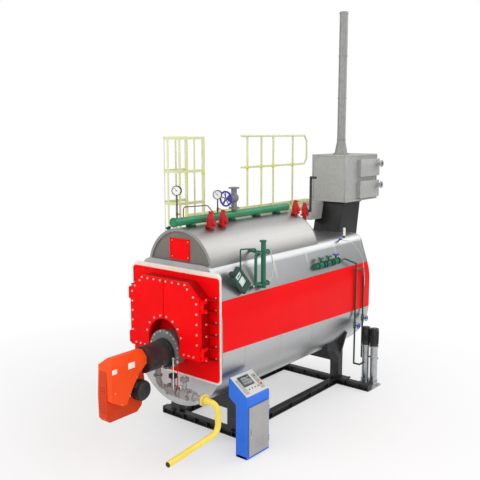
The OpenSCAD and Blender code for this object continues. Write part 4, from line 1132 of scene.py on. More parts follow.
@dataclass
class Burner:
    """The burner: ring bolts, blank plates and screws on its housing, fan louvres and motor."""

    ring_bolts: int = 12
    fins: int = 28
    plates: tuple[tuple[float, ...], ...] = ((-1.7, 1.535, 0.13, 0.09), (-2.02, 1.52, 0.09, 0.07))
    screws: Outline = ((-1.42, 1.5), (-1.6, 1.33), (-1.74, 1.08), (-1.9, 1.0), (-2.02, 1.2))

    def build(self) -> None:
        """Builds all of the burner's small pieces."""
        soften("burner_housing", 16 * MM, segments=3)
        soften("burner_fan", 14 * MM, segments=3)
        soften("burner_throat", 3 * MM)
        soften("burner_head", 3 * MM)
        self._throat()
        self._housing()
        self._motor()

    def _throat(self) -> None:
        """Builds the throat's ring bolts, the head's clamp ring and its bolts."""
        throat, head = Box.of("burner_throat"), Box.of("burner_head")
        axis = vec(0, throat.lo.y, throat.mid.z)
        radius = throat.hi.x - 23 * MM
        bolts("throat_ring_bolts", ring(axis, -Y, radius, self.ring_bolts, 15), -Y, Thread.M16)
        between = ring(axis, -Y, radius, self.ring_bolts, 0)
        rivets("throat_ring_studs", [placed(p, -Y) for p in between], 8 * MM, ZINC)
        head_axis = vec(0, throat.lo.y, head.mid.z)
        piece = Piece("head_seal_ring")
        head_r = head.size.x / 2
        piece.hoop(BLACK_CAST, placed(head_axis, -Y), head_r - 18 * MM, head_r + 8 * MM, 12 * MM)
        piece.done()
        clamp = head_axis - Y * 60 * MM
        bolts("head_clamp_bolts", ring(clamp, -Y, head_r - 8 * MM, 10), -Y, Thread.M8, BLACK_CAST)

    def _housing(self) -> None:
        """Builds the housing's blank plates in their frames, its screws and the fan's louvres."""
        house, fan = Box.of("burner_housing"), Box.of("burner_fan")
        piece = Piece("housing_trim")
        plates = Piece("housing_plates")
        for y, z, width, height in self.plates:
            at = vec(house.hi.x, y, z)
            plates.block(WHITE, at, (3 * MM, width, height), 1 * MM)
            piece.block(ORANGE, at, (2 * MM, width + 24 * MM, height + 24 * MM), 0.8 * MM)
        piece.done()
        plates.done()
        bolts("housing_screws", [vec(house.hi.x, y, z) for y, z in self.screws], X, Thread.M8)
        face = placed(vec(fan.mid.x, fan.lo.y, fan.at(0, 0, 0.42).z), -Y)
        louvres = [face @ spot(0, z * 0.045, 0) for z in range(-4, 5)]
        bars("fan_inlet_louvres", louvres, vec(fan.size.x * 0.62, 18 * MM, 10 * MM), SHADED_ORANGE)

    def _motor(self) -> None:
        """Builds the motor's fins, cowl, grille and terminal box."""
        motor = Box.of("burner_motor")
        radius = motor.size.y / 2
        foot = vec(motor.lo.x, motor.mid.y, motor.mid.z)
        places = []
        for k in range(self.fins):
            a = 2 * math.pi * k / self.fins
            out = vec(0, math.cos(a), math.sin(a))
            at = foot + out * (radius - 1 * MM) + X * 0.075
            places.append(placed(at, out, X))
        bars("burner_motor_fins", places, vec(4 * MM, 0.095, 12 * MM), BLACK_CAST)
        end = vec(motor.hi.x - 6 * MM, motor.mid.y, motor.mid.z)
        piece = Piece("burner_motor_cowl")
        profile = [
            (0, 0), (radius - 22 * MM, 0), (radius - 20 * MM, 5 * MM),
            (radius - 40 * MM, 12 * MM), (0, 14 * MM),
        ]
        piece.turned(BLACK_CAST, placed(end, X), profile, 40)
        box = foot + vec(0.075, -radius * 0.72, radius * 0.72)
        piece.block(BLACK_PLASTIC, placed(box, vec(0, -1, 1), X), (0.09, 0.1, 0.06), 5 * MM)
        piece.done()
        slots = [placed(p + X * 12 * MM, X, p - end) for p in ring(end, X, radius * 0.45, 14)]
        bars("burner_motor_grille", slots, vec(5 * MM, radius * 0.5, 6 * MM), BLACK_PLASTIC)


@dataclass
class GasTrain:
    """The gas train: flange bolts, actuators, impulse rods and the yellow pipe's fittings."""

    valve_shares: tuple[float, float] = (0.34, 0.59)
    valve_widths: tuple[float, float] = (0.18, 0.15)
    first_rod_rise: float = 0.12
    inlet_r: float = 44 * MM
    inlet_turn_deg: float = 7.0
    inlet_corner: float = 0.27
    inlet_run: float = 1.17

    def build(self) -> None:
        """Builds the gas train's small pieces."""
        train, yellow = Box.of("gas_train"), Box.of("gas_inlet_pipe")
        soften("gas_train", 2 * MM)
        inlet = yellow.lo.x
        y, z = train.mid.y, train.lo.z + 90 * MM
        valves = (inlet * self.valve_shares[0], inlet * self.valve_shares[1])
        heads, tails = [], []
        for x, w in zip(valves, self.valve_widths):
            for flange in (x - w / 2, x + w / 2):
                heads += ring(vec(flange + 8 * MM, y, z), X, 72 * MM, 6, 30)
                tails += ring(vec(flange - 8 * MM, y, z), -X, 72 * MM, 6, 30)
        heads += ring(vec(inlet + 24 * MM, y, z), X, 70 * MM, 8, 22.5)
        tails += ring(vec(inlet - 24 * MM, y, z), -X, 70 * MM, 8, 22.5)
        bolts("gas_flange_bolts", heads, X, Thread.M12)
        bolts("gas_flange_nuts", tails, -X, Thread.M12)
        piece = Piece("gas_actuators")
        for x, cap in zip(valves, (BLACK_PLASTIC, CAST_GREY)):
            top = vec(x, y, z + 0.19)
            piece.block(cap, top + UP * 0.035, (0.1, 0.1, 0.07), 6 * MM)
            piece.disc(ZINC, top + UP * 0.07, 16 * MM, 26 * MM)
        switch = vec(valves[0] + 0.16, y, z + 0.075)
        piece.block(WHITE, switch, (0.06, 0.07, 0.06), 4 * MM)
        piece.disc(BLACK_PLASTIC, placed(switch - Y * 0.035, -Y), 22 * MM, 12 * MM)
        piece.done()
        self._rods(valves, y, z)
        self._yellow(yellow, y, z)

    def _rods(self, valves: tuple[float, float], y: float, z: float) -> None:
        """Builds the impulse pipes that rise from the valves, with pale cocks at their tops."""
        tops = Piece("impulse_cocks")
        rods = ((-0.06, 0.42), (0.16, 0.4), (valves[0] + 0.06, 0.47), (valves[1] - 0.09, 0.44))
        for k, (x, height) in enumerate(rods):
            foot = vec(x, y - 0.055, z + 0.03)
            if k == 0:
                foot = vec(x, y - 0.03, z + self.first_rod_rise)
            top = foot + UP * height
            pipe(f"impulse_pipe_{k}", [foot, top], 7 * MM, 5 * MM, (WHITE, PALE_PINK, CREAM, VALVE_RED)[k])
            tops.disc(ZINC, top, 13 * MM, 34 * MM)
            lever = Matrix.Translation(top + vec(0.016, -0.01, 0.02))
            tops.block(ZINC, lever, (0.05, 0.014, 0.012), 2 * MM)
        tops.done()

    def _yellow(self, yellow: Box, y: float, z: float) -> None:
        """Builds the union rings of the yellow pipe and a black disc at its open end, painted shade for its
        bore.
        """
        radius = self.inlet_r
        piece = Piece("yellow_pipe_fittings")
        union = placed(vec(yellow.lo.x + 24 * MM, y, z), X)
        piece.disc(YELLOW, union, radius + 14 * MM, 40 * MM, 4 * MM)
        turn = math.radians(self.inlet_turn_deg)
        run = vec(math.sin(turn), -math.cos(turn), 0)
        low_z = yellow.lo.z + radius
        end = vec(yellow.lo.x + self.inlet_corner, y, low_z) + run * self.inlet_run
        piece.hoop(YELLOW, placed(end - run * 4 * MM, run), radius - 7 * MM, radius + 1 * MM, 5 * MM)
        # A black disc at the open end, painted shade for the pipe's dark bore
        piece.disc(BLACK_PLASTIC, placed(end - run * 4 * MM, run), radius - 7 * MM, 4.5 * MM)
        piece.done()


def dial(name: str, at: Vector, facing: Vector, radius: float) -> None:
    """Builds a pressure gauge's bezel, face, marks and pointer.

    Args:
        name: Start of the pieces' names.
        at: Middle of the case's front face.
        facing: The way that the face looks.
        radius: The case's radius.
    """
    place = placed(at, facing)
    piece = Piece(name)
    piece.hoop(BLACK_PLASTIC, place, radius - 9 * MM, radius + 1 * MM, 9 * MM)
    piece.disc(WHITE, place, radius - 8 * MM, 3 * MM)
    piece.disc(BLACK_PLASTIC, place @ spot(0, 0, 3 * MM), 8 * MM, 5 * MM)
    needle = place @ rotated(38) @ spot(0, radius * 0.3, 5 * MM)
    piece.block(BLACK_PLASTIC, needle, (4 * MM, radius * 0.75, 2 * MM), 0.5 * MM)
    piece.done()
    marks = []
    for k in range(11):
        spin = rotated(-135 + 27 * k)
        marks.append(place @ spin @ spot(0, radius * 0.72, 3.5 * MM))
    bars(name + "_marks", marks, vec(2.5 * MM, 12 * MM, 1 * MM), BLACK_PLASTIC)


@dataclass
class SteamFittings:
    """What stands on the manifold and drum: gauges, valves, nozzle flanges and small pipes."""

    nozzle_shares: tuple[float, ...] = (0.13, 0.46, 0.69, 0.89)
    dial_r: float = 76 * MM
    relief_x: float = 0.23
    relief_z: float = 3.408

    def build(self) -> None:
        """Builds the steam side's small pieces."""
        manifold, drum = Box.of("steam_manifold"), Box.of("drum_shell")
        for node in ("steam_manifold", "safety_valves", "main_steam_valve"):
            soften(node, 2 * MM)
        top = manifold.hi.z - 12 * MM
        start, length = manifold.lo.y + 10 * MM, manifold.size.y - 10 * MM
        self._nozzles(start, length, drum)
        self._gauges()
        self._valve(top)
        self._reliefs(top, start)
        end = vec(0, manifold.lo.y, manifold.hi.z - 77 * MM)
        bolts("manifold_flange_bolts", ring(end, -Y, 62 * MM, 8), -Y, Thread.M12, MANIFOLD_GREEN)

    def _nozzles(self, start: float, length: float, drum: Box) -> None:
        """Builds a dark flange pair on each nozzle under the manifold, with bolts."""
        piece = Piece("nozzle_flanges")
        heads = []
        for share in self.nozzle_shares:
            foot = vec(0, start + share * length, drum.hi.z + 4 * MM)
            piece.disc(DARK_GREEN, foot, 82 * MM, 11 * MM, 2 * MM)
            piece.disc(DARK_GREEN, foot + UP * 13 * MM, 82 * MM, 11 * MM, 2 * MM)
            heads += ring(foot + UP * 24 * MM, UP, 68 * MM, 8, 22.5)
        piece.done()
        bolts("nozzle_bolts", heads, UP, Thread.M8, DARK_GREEN)

    def _gauges(self) -> None:
        """Builds the two dials and the brass cocks under them."""
        gauges = Box.of("pressure_gauges")
        facing = vec(math.sin(math.radians(30)), -math.cos(math.radians(30)), 0)
        manifold = Box.of("steam_manifold")
        front_y = manifold.lo.y + 91 * MM
        rear_y = Box.of("steam_handwheel").mid.y - 0.22
        tops = ((front_y, gauges.hi.z), (rear_y, gauges.hi.z - 0.129))
        cocks = Piece("gauge_cocks")
        for k, (y, top) in enumerate(tops):
            centre = vec(0, y, top - self.dial_r)
            dial(f"pressure_dial_{k}", centre + facing * 22 * MM, facing, self.dial_r)
            foot = vec(0, y, manifold.hi.z)
            cocks.disc(BRASS, foot + UP * 20 * MM, 18 * MM, 50 * MM, 3 * MM)
            handle = Matrix.Translation(foot + vec(0.03, 0, 0.05))
            cocks.block(BRASS, handle, (0.06, 0.012, 0.016), 2 * MM)
        cocks.done()

    def _valve(self, top: float) -> None:
        """Builds the main steam valve's bonnet and bolts, and the handwheel's hub, rim and spokes."""
        valve, wheel = Box.of("main_steam_valve"), Box.of("steam_handwheel")
        body_y = valve.hi.y - 92 * MM
        axis = vec(0, body_y, wheel.mid.z)
        piece = Piece("steam_valve_bonnet")
        foot = axis - Y * 78 * MM
        piece.disc(CAST_GREY, placed(foot, -Y), 66 * MM, 14 * MM, 2 * MM)
        piece.disc(CAST_GREY, placed(foot - Y * 16 * MM, -Y), 66 * MM, 14 * MM, 2 * MM)
        piece.disc(ZINC, placed(vec(0, wheel.lo.y, wheel.mid.z), -Y), 17 * MM, 10 * MM, 2 * MM)
        piece.done()
        bolts("steam_bonnet_bolts", ring(foot - Y * 30 * MM, -Y, 54 * MM, 8), -Y, Thread.M8)
        base = vec(0, body_y, top + 12 * MM + 52 * MM)
        bolts("steam_inlet_bolts", ring(base, UP, 76 * MM, 8), UP, Thread.M8)
        hub = Piece("handwheel_hub", Body.HANDWHEEL)
        face = placed(vec(0, wheel.lo.y + 1 * MM, wheel.mid.z), -Y)
        hub.disc(WHEEL_BLUE, face, 30 * MM, 8 * MM, 2 * MM)
        radius = wheel.size.z / 2
        hub.hoop(WHEEL_BLUE, face, radius - 26 * MM, radius + 4 * MM, 7 * MM)
        for k in range(5):
            spin = face @ rotated(72 * k)
            spoke = spin @ spot(0, radius / 2, 3 * MM)
            hub.block(WHEEL_BLUE, spoke, (20 * MM, radius - 30 * MM, 7 * MM))
        hub.done()

    def _reliefs(self, top: float, start: float) -> None:
        """Builds the safety valves' levers, caps and flange bolts, and the thin pipe beside them."""
        drum = Box.of("drum_shell")
        valves = Box.of("safety_valves")
        lever = Piece("safety_valve_levers")
        heads = []
        places = [drum.lo.y + share * drum.size.y for share in (0.165, 0.27)] + [drum.hi.y - 0.04]
        seats = [vec(self.relief_x, y, self.relief_z) for y in places]
        seats.append(vec(0, valves.hi.y - 84 * MM, Box.of("main_shell").hi.z + 0.385))
        for seat in seats:
            cap = seat + UP * 0.246
            lever.disc(VALVE_RED, cap - UP * 30 * MM, 32 * MM, 20 * MM, 4 * MM)
            arm = Matrix.Translation(cap + vec(0.035, -0.01, -0.012))
            arm = arm @ rotated(14, "Y")
            lever.block(VALVE_RED, arm, (0.13, 0.012, 0.014), 2 * MM)
            lever.disc(VALVE_RED, placed(seat + UP * 0.08 + X * 0.055, X), 40 * MM, 30 * MM, 3 * MM)
            heads += ring(seat + UP * 26 * MM, UP, 73 * MM, 8, 22.5)
        lever.done()
        bolts("safety_valve_bolts", heads, UP, Thread.M8, VALVE_RED)
        rise = start + 0.2
        path = [vec(0.02, rise, top + 5 * MM), vec(0.02, rise, top + 0.16),
                vec(0.14, rise + 0.42, top + 0.16), vec(0.2, rise + 0.52, top + 0.02)]
        pipe("impulse_loop", path, 9 * MM, 40 * MM, BRASS)


@dataclass
class WaterFittings:
    """The level gauge, the transmitter, the feed line, its down pipes and the pumps."""

    wheel_r: float = 62 * MM
    transmitter_tilt_deg: float = 43.0
    gauge_half: float = 74 * MM
    column: float = 0.766
    port_share: float = 0.74
    vent_y: float = 3.3
    vent_lean_deg: float = 27.0
    cock_y: float = 3.01
    cock_lean_deg: float = 44.0

    def build(self) -> None:
        """Builds the water side's small pieces."""
        for node in ("level_gauge", "level_transmitter", "feed_valves", "feed_pumps", "pump_motors"):
            soften(node, 2 * MM)
        self._gauge()
        self._transmitter()
        self._feed()
        self._shoulder()
        self._down_pipes()
        self._pumps()

    def _gauge(self) -> None:
        """Builds the level gauge's glass, its cocks and the flange bolts of its column."""
        gauge = Box.of("level_gauge")
        x, column_y = gauge.hi.x - self.gauge_half, gauge.hi.y - 130 * MM
        glass_y = column_y - 185 * MM
        low, high = gauge.lo.z + 60 * MM, gauge.lo.z + self.port_share * self.column
        glass = Piece("level_glass")
        middle = vec(x, glass_y, (low + high) / 2)
        height = high - low
        glass.block(GREEN, middle, (40 * MM, 34 * MM, height - 0.11), 4 * MM)
        pane = Matrix.Translation(middle + X * 12 * MM)
        glass.block(GLASS_WHITE, pane, (20 * MM, 16 * MM, height - 0.16), 2 * MM)
        for z in (low, high):
            glass.disc(BLACK_PLASTIC, placed(vec(x + 40 * MM, glass_y, z), X), 24 * MM, 22 * MM, 4 * MM)
            glass.disc(ZINC, placed(vec(x, glass_y - 38 * MM, z), -Y), 16 * MM, 26 * MM, 2 * MM)
        cap = vec(x, column_y, gauge.hi.z)
        glass.disc(GREEN, cap - UP * 26 * MM, 58 * MM, 20 * MM, 3 * MM)
        glass.disc(GREEN, vec(x, column_y, gauge.lo.z + 4 * MM), 52 * MM, 18 * MM, 3 * MM)
        for z in (low, high):
            glass.disc(GREEN, placed(vec(x, column_y + 0.118, z), Y), 42 * MM, 14 * MM, 2 * MM)
        glass.done()
        heads = []
        for z in (low, high):
            heads += ring(vec(x, column_y, z + 13 * MM), UP, 52 * MM, 8, 22.5)
        heads += ring(cap - UP * 6 * MM, UP, 44 * MM, 6)
        bolts("level_column_bolts", heads, UP, Thread.M8, DARK_GREEN)

    def _transmitter(self) -> None:
        """Builds the transmitter's panes and knob, its thin pipe and the gauge's side pipe."""
        box, gauge = Box.of("level_transmitter"), Box.of("level_gauge")
        x = gauge.hi.x - self.gauge_half
        top_z = gauge.lo.z + self.port_share * self.column
        glass_y = gauge.hi.y - 0.315
        foot_y = box.mid.y - 0.01
        path = [vec(x, glass_y, top_z), vec(x, glass_y - 10 * MM, top_z + 85 * MM),
                vec(x, foot_y, top_z + 125 * MM), vec(x, foot_y, box.hi.z - 90 * MM)]
        pipe("transmitter_pipe", path, 12 * MM, 25 * MM, DARK_GREEN)
        drain_y = gauge.hi.y + 60 * MM
        drain = [vec(x, gauge.hi.y - 20 * MM, top_z), vec(x, drain_y, top_z + 20 * MM),
                 vec(x + 10 * MM, drain_y + 60 * MM, top_z - 0.18),
                 vec(x, drain_y + 50 * MM, gauge.lo.z + 0.1),
                 vec(x, gauge.hi.y - 20 * MM, gauge.lo.z + 60 * MM)]
        pipe("gauge_side_pipe", drain, 8 * MM, 60 * MM, ZINC)
        middle = vec(box.hi.x - 40 * MM, box.mid.y, box.hi.z - 223 * MM)
        house = Matrix.Translation(middle) @ rotated(self.transmitter_tilt_deg, "X")
        piece = Piece("transmitter_parts")
        for z, height in ((118 * MM, 90 * MM), (-22 * MM, 142 * MM)):
            piece.block(GLASS_WHITE, house @ spot(12 * MM, 0, z), (24 * MM, 0.13, height), 3 * MM)
        piece.block(DARK_GREEN, house @ spot(8 * MM, 0, 62 * MM), (44 * MM, 0.13, 20 * MM), 3 * MM)
        piece.block(DARK_GREEN, house @ spot(26 * MM, 0, 112 * MM), (12 * MM, 0.07, 16 * MM), 3 * MM)
        knob = house @ spot(0, -66 * MM, 206 * MM)
        piece.disc(BLACK_PLASTIC, knob, 36 * MM, 62 * MM, 8 * MM)
        piece.disc(BLACK_PLASTIC, knob @ spot(0, 0, 40 * MM), 44 * MM, 18 * MM, 5 * MM)
        piece.done()
        screws = [house @ vec(40 * MM, y, z) for y in (-86 * MM, 86 * MM) for z in (-0.187, 0.0, 0.187)]
        bolts("transmitter_screws", screws, X, Thread.M8, DARK_GREEN)

    def _feed(self) -> None:
        """Builds the feed line's handwheels and flange bolts."""
        feed = Box.of("feed_valves")
        x = feed.hi.x - 64 * MM
        z = feed.hi.z - 138 * MM
        start, length = feed.lo.y, feed.size.y
        wheels = Piece("feed_handwheels")
        front, rear = [], []
        for share in (0.2, 0.5, 0.8):
            y = start + share * length
            top = vec(x, y, z + 0.118)
            finish = WHEEL_BLUE if share > 0.7 else GREEN
            wheels.hoop(finish, top, self.wheel_r - 14 * MM, self.wheel_r, 22 * MM)
            wheels.disc(ZINC, top + UP * 18 * MM, 12 * MM, 8 * MM, 2 * MM)
            front += ring(vec(x, y - 71 * MM, z), Y, 52 * MM, 6, 30)
            rear += ring(vec(x, y + 71 * MM, z), -Y, 52 * MM, 6, 30)
        wheels.done()
        bolts("feed_bolts_front", front, Y, Thread.M8, DARK_GREEN)
        bolts("feed_bolts_rear", rear, -Y, Thread.M8, DARK_GREEN)

    def _shoulder(self) -> None:
        """Builds the vent and the blue cock on the rear shoulder, and the cock's thin drain."""
        cock = Piece("vent_cocks")
        shell = Box.of("main_shell")
        arc = vec(shell.hi.x - 0.39, 0, shell.hi.z - 0.2)
        vent = self._leant(self.vent_lean_deg)
        foot = arc + vent * 0.2 + Y * self.vent_y
        cock.disc(GREEN, foot, 26 * MM, 30 * MM, 3 * MM)
        cock.disc(WHITE, foot + UP * 20 * MM, 24 * MM, 0.16, 5 * MM)
        lean = self._leant(self.cock_lean_deg)
        foot = arc + lean * 0.2 + Y * self.cock_y
        cock.disc(GREEN, placed(foot, lean), 15 * MM, 70 * MM, 2 * MM)
        cock.disc(WHEEL_BLUE, placed(foot + lean * 60 * MM, lean), 40 * MM, 18 * MM, 4 * MM)
        cock.done()
        out = shell.hi.x + 62 * MM
        thin = [foot + lean * 30 * MM, vec(out - 0.1, 3.1, 2.86), vec(out, 3.262, 2.653),
                vec(out, 3.418, 2.456), vec(out, 3.485, 2.092), vec(out, 3.49, 1.95)]
        pipe("shoulder_drain", thin, 6 * MM, 0.12, ZINC)

    @staticmethod
    def _leant(angle_deg: float) -> Vector:
        """Returns the direction that leans from upright towards +X by an angle."""
        return vec(math.sin(math.radians(angle_deg)), 0, math.cos(math.radians(angle_deg)))

    def _down_pipes(self) -> None:
        """Builds the gate valves and their handwheels on the two down pipes."""
        pumps = Box.of("feed_pumps")
        x = Box.of("right_band").hi.x + 24 * MM
        pump_y = pumps.hi.y - 110 * MM
        piece = Piece("down_pipe_valves")
        body = [(0, 0), (20 * MM, 0), (34 * MM, 42 * MM), (20 * MM, 84 * MM), (0, 84 * MM)]
        for y, z in ((pump_y - 239 * MM, 1.21), (pump_y + 58 * MM, 1.3)):
            at = vec(x, y, z)
            piece.disc(GREEN, at - UP * 55 * MM, 34 * MM, 14 * MM, 2 * MM)
            piece.disc(GREEN, at + UP * 41 * MM, 34 * MM, 14 * MM, 2 * MM)
            piece.turned(GREEN, at - UP * 42 * MM, body, 20)
            piece.disc(GREEN, placed(at, X), 14 * MM, 88 * MM, 2 * MM)
            piece.hoop(WHEEL_BLUE, placed(at + X * 80 * MM, X), 40 * MM, 54 * MM, 14 * MM)
            piece.disc(WHEEL_BLUE, placed(at + X * 82 * MM, X), 18 * MM, 12 * MM, 3 * MM)
            for k in range(3):
                spin = placed(at + X * 87 * MM, X) @ rotated(120 * k)
                piece.block(WHEEL_BLUE, spin @ spot(0, 28 * MM, 0), (9 * MM, 36 * MM, 7 * MM))
        piece.done()

    def _pumps(self) -> None:
        """Builds the pumps' stage rings, motor ribs, cowls and terminal boxes."""
        pumps, motors = Box.of("feed_pumps"), Box.of("pump_motors")
        radius = 70 * MM
        y = pumps.hi.y - 110 * MM
        first = pumps.lo.x + 110 * MM
        trim = Piece("pump_trim")
        ribs, heads = [], []
        for k in range(2):
            x = first + 0.18 * k
            for z in spread(0.2, motors.lo.z - 0.09, 9):
                stage = placed(vec(x, y, z))
                trim.hoop(PUMP_STEEL, stage, radius - 2 * MM, radius + 2.5 * MM, 10 * MM)
            top = vec(x, y, motors.hi.z)
            cowl = [
                (0, -26 * MM), (radius + 11 * MM, -26 * MM), (radius + 11 * MM, -8 * MM),
                (radius - 2 * MM, 4 * MM), (0, 6 * MM),
            ]
            trim.turned(BLACK_PLASTIC, top, cowl, 32)
            trim.disc(ZINC, top + UP * 5 * MM, 14 * MM, 3 * MM)
            for j in range(24):
                a = 2 * math.pi * j / 24
                out = vec(math.cos(a), math.sin(a), 0)
                at = vec(x, y, motors.mid.z) + out * (radius + 9 * MM)
                ribs.append(placed(at, out, UP))
            heads += ring(vec(x, y, motors.lo.z), UP, radius + 7 * MM, 4, 45)
            box = vec(x, motors.lo.y - 1 * MM, motors.lo.z + 0.145)
            trim.block(BLACK_PLASTIC, box, (0.07, 4 * MM, 0.09), 1 * MM)
        trim.done()
        bars("pump_motor_ribs", ribs, vec(4 * MM, 0.25, 9 * MM), BLACK_CAST)


@dataclass
class Flue:
    """The duct, the economizer and the stack: frames, flange bolts and bands."""

    duct_front: float = 0.106
    duct_rear: float = 0.755
    lip: float = 25 * MM
    header_length: float = 0.77
    tube_r: float = 84 * MM

    def build(self) -> None:
        """Builds the flue's small pieces."""
        soften("flue_duct", 3 * MM)
        soften("economizer_casing", 5 * MM, segments=3)
        soften("economizer_headers", 4 * MM)
        soften("duct_front_box", 4 * MM)
        soften("stack", 1.5 * MM)
        self._duct()
        self._economizer()
        self._headers()
        self._stack()

    def _duct(self) -> None:
        """Builds the duct's corner angles and the front box's door."""
        duct, box, eco = Box.of("flue_duct"), Box.of("duct_front_box"), Box.of("economizer_casing")
        piece = Piece("duct_trim")
        z = duct.hi.z - 16 * MM
        y0, y1 = eco.lo.y + self.duct_front, eco.lo.y + self.duct_rear
        for y in (y0, y1):
            piece.block(DUCT_BLACK, spot(0, y, z), (duct.size.x + 0.05, 26 * MM, 30 * MM), 3 * MM)
        for x in (duct.lo.x, duct.hi.x):
            piece.block(DUCT_BLACK, spot(x, (y0 + y1) / 2, z), (26 * MM, y1 - y0, 30 * MM), 3 * MM)
        piece.block(PLATE_GREY, spot(box.hi.x + 2 * MM, box.lo.y + 0.18, box.mid.z),
                    (6 * MM, 0.3, box.size.z - 0.09), 2 * MM)
        piece.block(PLATE_GREY, spot(box.mid.x, box.lo.y - 2 * MM, box.mid.z),
                    (box.size.x - 0.05, 6 * MM, box.size.z - 0.14), 2 * MM)
        piece.done()
        frame = [vec(box.mid.x + dx * 0.085, box.lo.y - 5 * MM, box.mid.z + dz * 0.12)
                 for dx in (-1, 1) for dz in (-1, 0, 1)]
        bolts("front_box_screws", frame, -Y, Thread.M8)

    def _economizer(self) -> None:
        """Builds the casing's corner trims, the bolts of its lip and the rivets at its corners."""
        eco = Box.of("economizer_casing")
        x0, x1, y0, y1 = eco.lo.x + self.lip, eco.hi.x - self.lip, eco.lo.y + self.lip, eco.hi.y - self.lip
        height = eco.size.z
        piece = Piece("economizer_trim")
        angle = 30 * MM
        for x, y in ((x0, y0), (x1, y0), (x0, y1), (x1, y1)):
            piece.block(ZINC_SHEET, spot(x, y, eco.mid.z + 15 * MM),
                        (angle, angle, height - 34 * MM), 4 * MM)
        for x in (x0, x1):
            piece.block(ZINC_SHEET, spot(x, (y0 + y1) / 2, eco.hi.z - angle / 2 + 4 * MM),
                        (angle, y1 - y0, angle), 4 * MM)
        for y in (y0, y1):
            piece.block(ZINC_SHEET, spot(0, y, eco.hi.z - angle / 2 + 4 * MM),
                        (x1 - x0, angle, angle), 4 * MM)
        piece.done()
        lip_top = eco.lo.z + 30 * MM
        heads = [vec(x, y, lip_top) for x in (eco.lo.x + 12 * MM, eco.hi.x - 12 * MM)
                 for y in spread(eco.lo.y + 0.06, eco.hi.y - 0.06, 11)]
        heads += [vec(x, y, lip_top) for y in (eco.lo.y + 12 * MM, eco.hi.y - 12 * MM)
                  for x in spread(eco.lo.x + 0.06, eco.hi.x - 0.06, 7)]
        bolts("economizer_lip_bolts", heads, UP, Thread.M8)
        levels = (eco.lo.z + 0.12, eco.mid.z, eco.hi.z - 0.12)
        screws = [placed(vec(x, y, z), X * side) for side, x in ((1, x1 + angle / 2), (-1, x0 - angle / 2))
                  for y in (y0, y1) for z in levels]
        screws += [placed(vec(x, y0 - angle / 2, z), -Y) for x in (x0, x1) for z in levels]
        rivets("economizer_rivets", screws, 7 * MM, ZINC)

    def _headers(self) -> None:
        """Builds the cover plates and bolts of the economizer's water headers."""
        headers = Box.of("economizer_headers")
        eco = Box.of("economizer_casing")
        face = eco.hi.x - self.lip + 70 * MM
        y0, y1 = headers.lo.y, headers.lo.y + self.header_length
        plate = Piece("header_covers")
        heads, outlet = [], []
        for low in (eco.lo.z + 60 * MM, eco.lo.z + 0.5):
            at = vec(face + 5 * MM, (y0 + y1) / 2, low + 0.165)
            plate.block(ZINC_SHEET, at, (14 * MM, y1 - y0 + 0.02, 0.35), 3 * MM)
            for y in spread(y0 + 0.04, y1 - 0.04, 8):
                for z in (low + 0.02, low + 0.31):
                    heads.append(vec(face + 12 * MM, y, z))
            stub = vec(headers.hi.x, y1 - 0.09, low + 0.24)
            outlet += ring(stub, X, 56 * MM, 8, 22.5)
            plate.hoop(BLACK_PLASTIC, placed(stub, X), 0.5 * MM, 30 * MM, 1 * MM)
        plate.done()
        bolts("header_bolts", heads, X, Thread.M8)
        bolts("header_outlet_bolts", outlet, X, Thread.M8)

    def _stack(self) -> None:
        """Builds the stack's joint bands and the bolts of its foot."""
        stack = Box.of("stack")
        piece = Piece("stack_bands")
        for z in spread(stack.lo.z + 0.28, stack.hi.z - 45 * MM, 4):
            at = vec(0, stack.mid.y, z)
            piece.hoop(STACK_GREY, at, self.tube_r - 1 * MM, self.tube_r + 6 * MM, 40 * MM)
        piece.done()
        foot = vec(0, stack.mid.y, stack.lo.z + 20 * MM)
        heads = ring(foot, UP, stack.size.x / 2 - 14 * MM, 12)
        bolts("stack_foot_bolts", heads, UP, Thread.M12)


